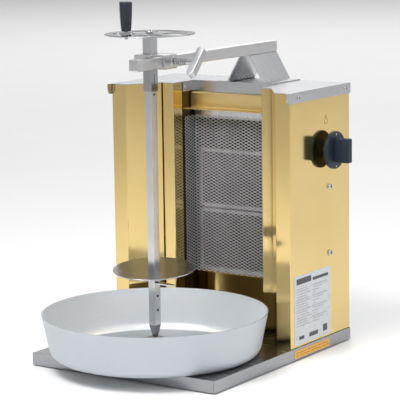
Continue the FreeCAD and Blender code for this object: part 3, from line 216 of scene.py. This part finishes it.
def satin_steel(name, colour, rough, streak):
    """Satin steel with faint streaks, longest along the axis with the smallest streak scale."""
    tint = tuple(c * 0.96 for c in colour)
    return metal(name, colour, tint, rough, streak=streak, patch=4.0, grain=0.02, wave=0.012, smudge=0.01)


def polished_steel(name, colour, rough):
    """Polished steel with faint upright streaks and smudges."""
    tint = tuple(c * 0.9 for c in colour)
    return metal(name, colour, tint, rough, streak=(160, 160, 22), patch=24.0, grain=0.05, smudge=0.08)


def fastener_steel():
    """Plated screw steel, with painted shade darkening it down in the cross recesses."""
    material, tree, shader, place = start("fastener_steel", Metallic=0.9)
    cloud = noise(tree, place, 80.0, 4.0)
    tone = blended(tree, ranged(tree, cloud, (0.0, 1.0)), (0.68, 0.68, 0.70), (0.56, 0.56, 0.58))
    # painted shade: ambient occlusion blends the cross recesses towards near black
    shade = add(tree, "AmbientOcclusion", {"Distance": 0.0016}, samples=SHADE_SAMPLES).outputs["AO"]
    painted_recess_shade = spread(tree, shade, 0.35, 0.8, 1.0, 0.0)
    tree.links.new(blended(tree, painted_recess_shade, tone, (0.05, 0.05, 0.055)), shader.inputs["Base Color"])
    tree.links.new(ranged(tree, cloud, (0.20, 0.34)), shader.inputs["Roughness"])
    tree.links.new(bumped(tree, cloud, 0.1, GRAIN_DEPTH), shader.inputs["Normal"])
    return material


def stained_steel(name, colour, stain, rough, metallic=0.9):
    """Steel that heat has coloured in blotches."""
    material, tree, shader, place = start(name, Metallic=metallic)
    blotch = noise(tree, scaled(tree, place, (1, 1, 0.6)), 22.0, 5.0, 0.62)
    fine = noise(tree, place, 420.0, 2.0)
    tone = blended(tree, spread(tree, blotch, 0.42, 0.62, 0.0, 1.0), colour, stain)
    tree.links.new(tone, shader.inputs["Base Color"])
    tree.links.new(ranged(tree, fine, rough), shader.inputs["Roughness"])
    tree.links.new(bumped(tree, fine, 0.25, GRAIN_DEPTH), shader.inputs["Normal"])
    return material


def casting():
    """Plated casting: fine orange-peel, dull, with brighter rubbed edges and thread grooves darkened by
    painted shade.
    """
    material, tree, shader, place = start("cast_steel", Metallic=1.0)
    peel = noise(tree, place, 620.0, 3.0, 0.6)
    cloud = noise(tree, place, 60.0, 4.0)
    mask, soft = worn_edges(tree, 0.001)
    tone = blended(tree, ranged(tree, cloud, (0.0, 1.0)), (0.62, 0.62, 0.63), (0.54, 0.54, 0.55))
    # painted shade: ambient occlusion blends the thread grooves and hollows towards near black
    shade = add(tree, "AmbientOcclusion", {"Distance": 0.003}, samples=SHADE_SAMPLES).outputs["AO"]
    painted_recess_shade = spread(tree, shade, 0.35, 0.85, 1.0, 0.0)
    rubbed = blended(tree, mask, tone, (0.66, 0.66, 0.66))
    tree.links.new(blended(tree, painted_recess_shade, rubbed, (0.07, 0.07, 0.075)), shader.inputs["Base Color"])
    tree.links.new(ranged(tree, cloud, (0.34, 0.50)), shader.inputs["Roughness"])
    tree.links.new(bumped(tree, peel, 0.35, PEEL_DEPTH, soft), shader.inputs["Normal"])
    return material


def spun_metal(name, axis, colour, tint, outer_shade_tone, rough, metallic):
    """Matt spun metal: rings round an upright axis, cloudy; faces turned towards the axis painted light,
    faces turned away painted a darker shade tone, and up-facing faces painted darkest.
    """
    material, tree, shader, place = start(name, Metallic=metallic)
    apart = add(tree, "SeparateXYZ", {"Vector": place})
    off_x = math_node(tree, "SUBTRACT", apart.outputs["X"], axis.x)
    off_y = math_node(tree, "SUBTRACT", apart.outputs["Y"], axis.y)
    square_x = math_node(tree, "MULTIPLY", off_x, off_x)
    square_y = math_node(tree, "MULTIPLY", off_y, off_y)
    radius = math_node(tree, "SQRT", math_node(tree, "ADD", square_x, square_y))
    track = add(tree, "CombineXYZ", {"X": radius, "Y": 0.0, "Z": apart.outputs["Z"]}).outputs["Vector"]
    rings = noise(tree, track, 900.0, 3.0, 0.7)
    cloud = noise(tree, place, 9.0, 4.0, 0.55)
    tone = blended(tree, spread(tree, cloud, 0.32, 0.68, 0.0, 1.0), colour, tint)
    face = add(tree, "SeparateXYZ", {"Vector": add(tree, "NewGeometry").outputs["Normal"]})
    out_x = math_node(tree, "MULTIPLY", off_x, face.outputs["X"])
    out_y = math_node(tree, "MULTIPLY", off_y, face.outputs["Y"])
    # painted light and shade: faces turned away from the axis take the darker shade tone
    outside_shade_mask = spread(tree, math_node(tree, "ADD", out_x, out_y), -0.02, 0.02, 0.0, 1.0)
    # painted shade: up-facing faces take the darkest tone
    level = spread(tree, face.outputs["Z"], 0.9, 0.99, 0.0, 1.0)
    tone = blended(tree, outside_shade_mask, tone, outer_shade_tone)
    tone = blended(tree, level, tone, tuple(c * 0.58 for c in outer_shade_tone))
    fine = blended(tree, spread(tree, rings, 0.35, 0.65, 0.0, 0.2), tone, outer_shade_tone)
    tree.links.new(fine, shader.inputs["Base Color"])
    tree.links.new(ranged(tree, cloud, rough), shader.inputs["Roughness"])
    soft = add(tree, "Bevel", {"Radius": 0.0006}, samples=BEVEL_SAMPLES).outputs["Normal"]
    tree.links.new(bumped(tree, rings, 0.14, GRAIN_DEPTH, soft), shader.inputs["Normal"])
    return material


def plastic(name, colour, worn, rough, grain=700.0, **values):
    """Moulded plastic: faint grain, slightly lighter rubbed edges, finger-polished patches."""
    material, tree, shader, place = start(name, **values)
    texture = noise(tree, place, grain, 2.0)
    hands = noise(tree, place, 45.0, 4.0)
    mask, soft = worn_edges(tree, 0.0009)
    handled = tuple(c * 1.35 + 0.004 for c in colour)
    tone = blended(tree, spread(tree, hands, 0.35, 0.7, 0.0, 0.6), colour, handled)
    tree.links.new(blended(tree, mask, tone, worn), shader.inputs["Base Color"])
    tree.links.new(ranged(tree, hands, rough), shader.inputs["Roughness"])
    tree.links.new(bumped(tree, texture, 0.12, GRAIN_DEPTH, soft), shader.inputs["Normal"])
    return material


HOLES_PER_METRE = 420


def tile_ceramic():
    """Burner tile face: rows of small flame holes in matt ceramic with heat marks; the holes are painted
    darker as painted shade.
    """
    material, tree, shader, place = start("ceramic_tile", Roughness=0.85)
    grid = scaled(tree, place, (HOLES_PER_METRE, HOLES_PER_METRE, HOLES_PER_METRE))
    dots = add(tree, "TexVoronoi", {"Vector": grid, "Scale": 1.0, "Randomness": 0.0})
    hole = spread(tree, dots.outputs["Distance"], 0.22, 0.34, 1.0, 0.0)
    heat = noise(tree, place, 30.0, 4.0)
    share = spread(tree, heat, 0.35, 0.65, 0.0, 1.0)
    tone = blended(tree, share, (0.11, 0.107, 0.104), (0.065, 0.063, 0.061))
    # painted shade: the flame holes are blended towards a darker colour for the shade inside them
    tree.links.new(blended(tree, hole, tone, (0.06, 0.055, 0.05)), shader.inputs["Base Color"])
    tree.links.new(bumped(tree, hole, -0.5, HOLE_DEPTH), shader.inputs["Normal"])
    return material


def film(name, colour, tint, rough):
    """Printed film: even colour with faint mottling and small wrinkles."""
    material, tree, shader, place = start(name)
    mottle = noise(tree, place, 55.0, 4.0)
    tree.links.new(blended(tree, mottle, colour, tint), shader.inputs["Base Color"])
    tree.links.new(ranged(tree, mottle, rough), shader.inputs["Roughness"])
    tree.links.new(bumped(tree, mottle, 0.08, WRINKLE_DEPTH), shader.inputs["Normal"])
    return material


# ---- finishes, one per material slot of the record ----
pan_low, pan_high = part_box("drip_pan")
PAN_AXIS = (pan_low + pan_high) / 2
FINISHES = {
    "gold_sheet": gold(),
    "stainless_sheet": satin_steel("stainless_sheet", (0.55, 0.56, 0.575), (0.26, 0.275), (14, 240, 240)),
    "stainless_bar": satin_steel("stainless_bar", (0.68, 0.68, 0.69), (0.26, 0.32), (320, 14, 320)),
    "polished_steel": polished_steel("polished_steel", (0.64, 0.65, 0.67), (0.14, 0.24)),
    "cast_steel": casting(),
    "fastener_steel": fastener_steel(),
    "dark_steel": stained_steel("dark_steel", (0.075, 0.068, 0.062), (0.028, 0.024, 0.021), (0.45, 0.65)),
    "mesh_steel": stained_steel(
        "mesh_steel", (0.76, 0.78, 0.81), (0.62, 0.63, 0.66), (0.28, 0.40), metallic=0.5),
    "burner_steel": stained_steel("burner_steel", (0.50, 0.50, 0.51), (0.34, 0.33, 0.325), (0.32, 0.46)),
    "ceramic_tile": tile_ceramic(),
    "brass_parts": metal(
        "brass_parts", (0.72, 0.52, 0.22), (0.60, 0.42, 0.17), (0.22, 0.38), patch=60.0, grain=0.1),
    "copper_pipe": metal("copper_pipe", (0.72, 0.38, 0.24), (0.55, 0.27, 0.17), (0.24, 0.42), patch=40.0),
    "bronze_bush": metal("bronze_bush", (0.52, 0.36, 0.18), (0.40, 0.27, 0.13), (0.35, 0.50), patch=70.0),
    # the pan's inside is painted light with the first two colours; its outward and up-facing faces are
    # painted shade with the third
    "pan_aluminium": spun_metal(
        "pan_aluminium", PAN_AXIS, (0.90, 0.93, 0.96), (0.84, 0.875, 0.91), (0.54, 0.575, 0.61),
        (0.40, 0.48), metallic=0.40),
    # the cup gets the same painted light inside and painted shade on its outward and up-facing faces
    "cup_steel": spun_metal(
        "cup_steel", PAN_AXIS, (0.42, 0.43, 0.46), (0.34, 0.35, 0.38), (0.38, 0.39, 0.42),
        (0.30, 0.42), metallic=0.92),
    "grip_plastic": plastic("grip_plastic", (0.012, 0.015, 0.023), (0.05, 0.055, 0.065), (0.24, 0.40)),
    "knob_plastic": plastic(
        "knob_plastic", (0.018, 0.029, 0.043), (0.07, 0.09, 0.115), (0.30, 0.44), Specular_IOR_Level=0.25),
    "mark_white": film("mark_white", (0.92, 0.92, 0.88), (0.84, 0.84, 0.78), (0.35, 0.5)),
    "foot_rubber": plastic("foot_rubber", (0.012, 0.012, 0.013), (0.03, 0.03, 0.03), (0.6, 0.8), grain=300.0),
    "label_film": film("label_film", (0.62, 0.65, 0.68), (0.57, 0.60, 0.635), (0.22, 0.36)),
    "sticker_film": film("sticker_film", (0.86, 0.46, 0.06), (0.78, 0.39, 0.045), (0.30, 0.45)),
}
INK = film("label_ink", (0.05, 0.05, 0.055), (0.10, 0.10, 0.105), (0.4, 0.6))
FADED_INK = film("faded_ink", (0.30, 0.31, 0.33), (0.38, 0.39, 0.41), (0.4, 0.6))
STICKER_INK = film("sticker_ink", (0.42, 0.20, 0.02), (0.52, 0.26, 0.03), (0.4, 0.6))
ETCHED = metal("etched_line", (0.40, 0.29, 0.13), (0.34, 0.25, 0.11), (0.35, 0.5), patch=90.0)
DARK_POLISHED = polished_steel("dark_polished", (0.45, 0.455, 0.475), (0.07, 0.14))
PLATE_STEEL = polished_steel("plate_steel", (0.49, 0.505, 0.54), (0.16, 0.24))
# painted shade and painted dark reflection: the recess liners get a near-black brown that stands for the
# shade deep in the recess
SHADED_LINER_BRONZE = stained_steel("shaded_liner_bronze", (0.12, 0.08, 0.03), (0.06, 0.04, 0.02), (0.38, 0.50))
TRAY_STEEL = satin_steel("tray_steel", (0.36, 0.37, 0.385), (0.26, 0.275), (14, 240, 240))
GUARD_RAIL = polished_steel("guard_rail", (0.70, 0.70, 0.70), (0.20, 0.30))
OWN_FINISHES = {
    "meat_plate": PLATE_STEEL,
    "handwheel": DARK_POLISHED,
    "lower_sleeve": DARK_POLISHED,
    "spit_point": DARK_POLISHED,
    "recess_liners": SHADED_LINER_BRONZE,
    "top_cross_panel": gold_dull(),
    "base_tray": TRAY_STEEL,
    "mesh_rails": GUARD_RAIL,
}


def slot_of_nodes():
    """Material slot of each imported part, by its name."""
    return {part["node"]: part["material_slot"] for part in frame["record"]["subparts"]}


def dress_nodes():
    """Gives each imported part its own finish, or the one of its material slot."""
    for name, slot in slot_of_nodes().items():
        piece = frame["nodes"][name]
        piece.data.materials.clear()
        piece.data.materials.append(OWN_FINISHES.get(name, FINISHES[slot]))


# ---- mesh pieces ----
def piece_from(name, verts, faces, material, body="cabinet"):
    """Mesh piece with one material that rides on a body."""
    mesh = bpy.data.meshes.new(name)
    mesh.from_pydata([tuple(v) for v in verts], [], faces)
    mesh.update()
    mesh.materials.append(material)
    piece = bpy.data.objects.new(name, mesh)
    bpy.context.scene.collection.objects.link(piece)
    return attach(piece, body)


# the guard's diamonds, strands and bends, in millimetres
MESH_LONG = 12.0
MESH_SHORT = 5.8
STRAND_WIDE = 0.95
STRAND_DEEP = 0.9
STRAND_LEAN = 0.45
GUARD_BEND = 3.0
# steps round each bend
CORNER_STEPS = 5


def guard_path():
    """Points and outward normals along the guard's U from left to right, then its bottom and top."""
    low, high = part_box("mesh_guard")
    left, right = low.x + STRAND_DEEP * MM / 2, high.x - STRAND_DEEP * MM / 2
    returns, face = low.y, high.y - STRAND_DEEP * MM / 2
    bend = GUARD_BEND * MM
    points = [(Vector((left, returns)), Vector((-1, 0)))]
    for corner_x, sign in ((left + bend, -1), (right - bend, 1)):
        centre = Vector((corner_x, face - bend))
        for step in range(CORNER_STEPS + 1):
            turn = math.radians(90 * step / CORNER_STEPS)
            if sign < 0:
                out = Vector((-math.cos(turn), math.sin(turn)))
            else:
                out = Vector((math.sin(turn), math.cos(turn)))
            points.append((centre + out * bend, out))
    points.append((Vector((right, returns)), Vector((1, 0))))
    return points, low.z, high.z


def walk(points):
    """Whole length of the path, and a function that gives place and normal at a length along it."""
    lengths = [0.0]
    for (a, _), (b, _) in zip(points, points[1:]):
        lengths.append(lengths[-1] + (b - a).length)

    def where(distance):
        """Place and normal at this length along the path."""
        distance = min(max(distance, 0.0), lengths[-1])
        index = 0
        while index < len(lengths) - 2 and lengths[index + 1] < distance:
            index += 1
        share = (distance - lengths[index]) / max(lengths[index + 1] - lengths[index], 1e-9)
        place = points[index][0].lerp(points[index + 1][0], share)
        out = points[index][1].lerp(points[index + 1][1], share).normalized()
        return place, out

    return lengths[-1], where


def expanded_mesh():
    """Guard of expanded metal: zigzag strands that meet at the corners of long diamonds."""
    points, bottom, top = guard_path()
    total, where = walk(points)
    half_long = total / round(total / (MESH_LONG * MM / 2))
    half_short = MESH_SHORT * MM / 2
    columns = round(total / half_long)
    rows = int((top - bottom) / half_short) - 1
    lean = Vector((0, 0, STRAND_WIDE * MM / 2))
    verts, faces = [], []
    for row in range(rows):
        for column in range(columns + 1):
            place, out = where(column * half_long)
            up = (row + (row + column) % 2) * half_short + half_short / 2
            centre = Vector((place.x, place.y, bottom + up))
            outward = Vector((out.x, out.y, 0)) * (STRAND_DEEP * MM / 2)
            tilt = Vector((out.x, out.y, 0)) * (STRAND_LEAN * MM / 2) * (1 if (row + column) % 2 else -1)
            verts += [
                centre - lean - outward + tilt,
                centre + lean - outward - tilt,
                centre + lean + outward - tilt,
                centre - lean + outward + tilt,
            ]
            if column:
                base = len(verts) - 8
                for side in range(4):
                    after = (side + 1) % 4
                    faces.append((base + side, base + after, base + 4 + after, base + 4 + side))
    piece = piece_from("expanded_guard", verts, faces, FINISHES["mesh_steel"])
    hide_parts("mesh_guard")


# height of the print above its film in metres, and its depth below as a share of that
PRINT_THICK = 0.00006
PRINT_SUNK = 0.2


def bars_on_side(name, bars, x, thick, material):
    """Thin raised bars on a face that looks along +X. Each bar is (y0, y1, z0, z1) in row-frame metres."""
    verts, faces = [], []
    for y0, y1, z0, z1 in bars:
        base = len(verts)
        for depth in (x - thick * PRINT_SUNK, x + thick):
            verts += [(depth, y0, z0), (depth, y1, z0), (depth, y1, z1), (depth, y0, z1)]
        faces += [(base + 4, base + 5, base + 6, base + 7), (base, base + 3, base + 2, base + 1)]
        for side in range(4):
            after = (side + 1) % 4
            faces.append((base + side, base + after, base + 4 + after, base + 4 + side))
    return piece_from(name, verts, faces, material)


# layout of the label, in shares of its width and height; each bar is left, right, bottom, top
LABEL_HEADING = ((0.06, 0.46, 0.87, 0.955), (0.50, 0.93, 0.87, 0.915))
LABEL_BLOCKS = ((0.12, 0.26, 0.07, 0.12), (0.40, 0.64, 0.065, 0.125), (0.78, 0.90, 0.07, 0.17))
LABEL_LEFT = 0.06
LABEL_RIGHT = 0.94
LABEL_ROWS = 15
ROW_FIRST = 0.80
ROW_STEP = 0.038
ROW_HIGH = 0.011
LABEL_RULES = 4
RULE_BOTTOM = 0.785
RULE_TOP = 0.788
RULE_STEP = 0.152


def label_print():
    """Plain bars where the rating label is printed: a heading, rows, rules and three blocks."""
    low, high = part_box("rating_label")
    wide, tall = high.y - low.y, high.z - low.z
    x = high.x

    def bar(left, right, bottom, top):
        """Bar whose edges are given in shares of the label."""
        return (low.y + wide * left, low.y + wide * right, low.z + tall * bottom, low.z + tall * top)

    dark = [bar(*edges) for edges in LABEL_HEADING + LABEL_BLOCKS]
    faint = []
    for row in range(LABEL_ROWS):
        up = ROW_FIRST - row * ROW_STEP
        word_end = 0.34 + 0.05 * (row % 3)
        value_start = 0.48 + 0.03 * (row % 2)
        value_end = 0.90 - 0.11 * ((row * 5) % 4)
        faint.append(bar(LABEL_LEFT, word_end, up, up + ROW_HIGH))
        faint.append(bar(value_start, value_end, up, up + ROW_HIGH))
    for row in range(LABEL_RULES):
        drop = row * RULE_STEP
        faint.append(bar(LABEL_LEFT, LABEL_RIGHT, RULE_BOTTOM - drop, RULE_TOP - drop))
    bars_on_side("label_heading", dark, x, PRINT_THICK, INK)
    bars_on_side("label_rows", faint, x, PRINT_THICK, FADED_INK)


# layout of the sticker, in shares of its width and height
STICKER_ROWS = 2
STICKER_BOTTOM = 0.28
STICKER_ROW_STEP = 0.32
DASHES = 9
DASH_FIRST = 0.04
DASH_STEP = 0.105
DASH_HIGH = 0.12


def sticker_print():
    """Two rows of plain dashes on the orange sticker."""
    low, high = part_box("edge_sticker")
    wide, tall = high.y - low.y, high.z - low.z
    bars = []
    for row in range(STICKER_ROWS):
        z0 = low.z + tall * (STICKER_BOTTOM + STICKER_ROW_STEP * row)
        for dash in range(DASHES):
            y0 = low.y + wide * (DASH_FIRST + DASH_STEP * dash)
            dash_wide = 0.07 + 0.015 * ((dash + row) % 3)
            bars.append((y0, y0 + wide * dash_wide, z0, z0 + tall * DASH_HIGH))
    bars_on_side("sticker_dashes", bars, high.x, PRINT_THICK, STICKER_INK)


# the flame's place off the knob, its line and its outline along Y and Z, in millimetres
FLAME_BESIDE = -5.7
FLAME_ABOVE = 12.9
FLAME_LINE_RADIUS = 0.5
FLAME_OUTLINE = (
    (0, 0), (4.4, 1.3), (5.5, 5.6), (3.4, 9.8), (0.8, 13.0),
    (0.3, 17.0), (-2.6, 13.2), (-2.9, 10.4), (-5.4, 7.2), (-4.8, 1.8),
)


def flame_mark():
    """Small etched flame outline on the side panel above the knob."""
    low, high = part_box("knob")
    across = (low.y + high.y) / 2 + FLAME_BESIDE * MM
    base = high.z + FLAME_ABOVE * MM
    curve = bpy.data.curves.new("flame_outline", "CURVE")
    curve.dimensions = "3D"
    curve.bevel_depth = FLAME_LINE_RADIUS * MM
    curve.bevel_resolution = 1
    spline = curve.splines.new("NURBS")
    spline.points.add(len(FLAME_OUTLINE) - 1)
    for point, (y, z) in zip(spline.points, FLAME_OUTLINE):
        point.co = (SIDE_X, across + y * MM, base + z * MM, 1.0)
    spline.use_cyclic_u = True
    spline.order_u = 3
    drawn = bpy.data.objects.new("flame_outline", curve)
    bpy.context.scene.collection.objects.link(drawn)
    mesh = bpy.data.meshes.new_from_object(drawn.evaluated_get(bpy.context.evaluated_depsgraph_get()))
    bpy.data.objects.remove(drawn)
    mesh.materials.clear()
    mesh.materials.append(ETCHED)
    piece = bpy.data.objects.new("flame_mark", mesh)
    bpy.context.scene.collection.objects.link(piece)
    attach(piece, "cabinet")


# ---- view: where the camera stands and looks; the surround follows its azimuth ----
AZIMUTH = math.radians(34.11)
ELEVATION = math.radians(9.43)
ROLL = math.radians(-0.84)
DISTANCE = 3.404
AIM = at(37.1, -53.45, 288.8)
LENS_MM = 172.7
SENSOR_MM = 36.0
CLIP_END = 100.0


# ---- studio: half the floor's width in metres, the strengths of the surround, and the lights ----
FLOOR_HALF = 14.0
SURROUND = 0.30
SIDE_RISE = 0.12
BACK_RISE = 0.25
TOP_RISE = 0.25
# name, place, size and power of each light
LIGHTS = (
    ("back_right", (2.5, 2.5, 3.0), 2.5, 36.0),
    ("back_left", (-4.0, 7.0, 6.0), 3.0, 240.0),
    ("right", (3.0, -0.6, 2.8), 2.0, 8.0),
    ("key", (1.6, -1.8, 2.6), 1.6, 15.0),
    ("overhead", (-0.1, -0.9, 1.9), 0.9, 28.0),
)


def studio_floor():
    """Plain pale floor with faint mottling."""
    material, tree, shader, place = start("studio_floor", Roughness=0.6, Specular_IOR_Level=0.1)
    mottle = noise(tree, place, 3.0, 4.0)
    tree.links.new(blended(tree, mottle, (0.86, 0.86, 0.86), (0.90, 0.90, 0.90)), shader.inputs["Base Color"])
    corners = [(x * FLOOR_HALF, y * FLOOR_HALF, 0) for x, y in ((-1, -1), (1, -1), (1, 1), (-1, 1))]
    mesh = bpy.data.meshes.new("studio_floor")
    mesh.from_pydata(corners, [], [(0, 1, 2, 3)])
    mesh.materials.append(material)
    floor = bpy.data.objects.new("studio_floor", mesh)
    bpy.context.scene.collection.objects.link(floor)


def studio_world():
    """Pale surround: darkest low on the left, paler to the right, overhead and behind the object."""
    world = bpy.data.worlds.new("studio")
    world.use_nodes = True
    tree = world.node_tree
    away = add(tree, "TexCoord").outputs["Generated"]
    apart = add(tree, "SeparateXYZ", {"Vector": away})
    side = spread(tree, apart.outputs["X"], -1.0, 1.0, 0.0, SIDE_RISE)
    behind_y = math_node(tree, "MULTIPLY", apart.outputs["Y"], math.cos(AZIMUTH))
    behind_x = math_node(tree, "MULTIPLY", apart.outputs["X"], math.sin(AZIMUTH))
    behind = math_node(tree, "SUBTRACT", behind_y, behind_x)
    back = spread(tree, behind, 0.7, 0.95, 0.0, BACK_RISE)
    top = spread(tree, apart.outputs["Z"], 0.1, 0.9, 0.0, TOP_RISE)
    level_sides = math_node(tree, "ADD", side, back)
    level = math_node(tree, "ADD", level_sides, math_node(tree, "ADD", top, SURROUND))
    tree.links.new(level, tree.nodes["Background"].inputs["Strength"])
    tree.nodes["Background"].inputs["Color"].default_value = (1.0, 1.0, 1.0, 1.0)
    bpy.context.scene.world = world


def soft_light(name, place, size, power):
    """Round area light that faces the middle of the object."""
    light = bpy.data.lights.new(name, "AREA")
    light.shape = "DISK"
    light.size = size
    light.energy = power
    lamp = bpy.data.objects.new(name, light)
    lamp.location = place
    lamp.rotation_mode = "QUATERNION"
    lamp.rotation_quaternion = (CENTRE - Vector(place)).to_track_quat("-Z", "Y")
    bpy.context.scene.collection.objects.link(lamp)


# ---- camera ----
def camera():
    """Camera at DISTANCE from AIM, which it looks at."""
    forward = Vector((
        -math.sin(AZIMUTH) * math.cos(ELEVATION),
        math.cos(AZIMUTH) * math.cos(ELEVATION),
        -math.sin(ELEVATION),
    ))
    data = bpy.data.cameras.new("camera")
    data.lens = LENS_MM
    data.sensor_width = SENSOR_MM
    data.clip_end = CLIP_END
    made = bpy.data.objects.new("camera", data)
    made.location = AIM - forward * DISTANCE
    made.rotation_mode = "QUATERNION"
    roll = Matrix.Rotation(ROLL, 3, "Z").to_quaternion()
    made.rotation_quaternion = forward.to_track_quat("-Z", "Y") @ roll
    bpy.context.scene.collection.objects.link(made)
    bpy.context.scene.camera = made


# ---- build ----
dress_nodes()
expanded_mesh()
label_print()
sticker_print()
flame_mark()
studio_floor()
studio_world()
for light in LIGHTS:
    soft_light(*light)
camera()
bpy.context.scene.view_settings.view_transform = "Standard"
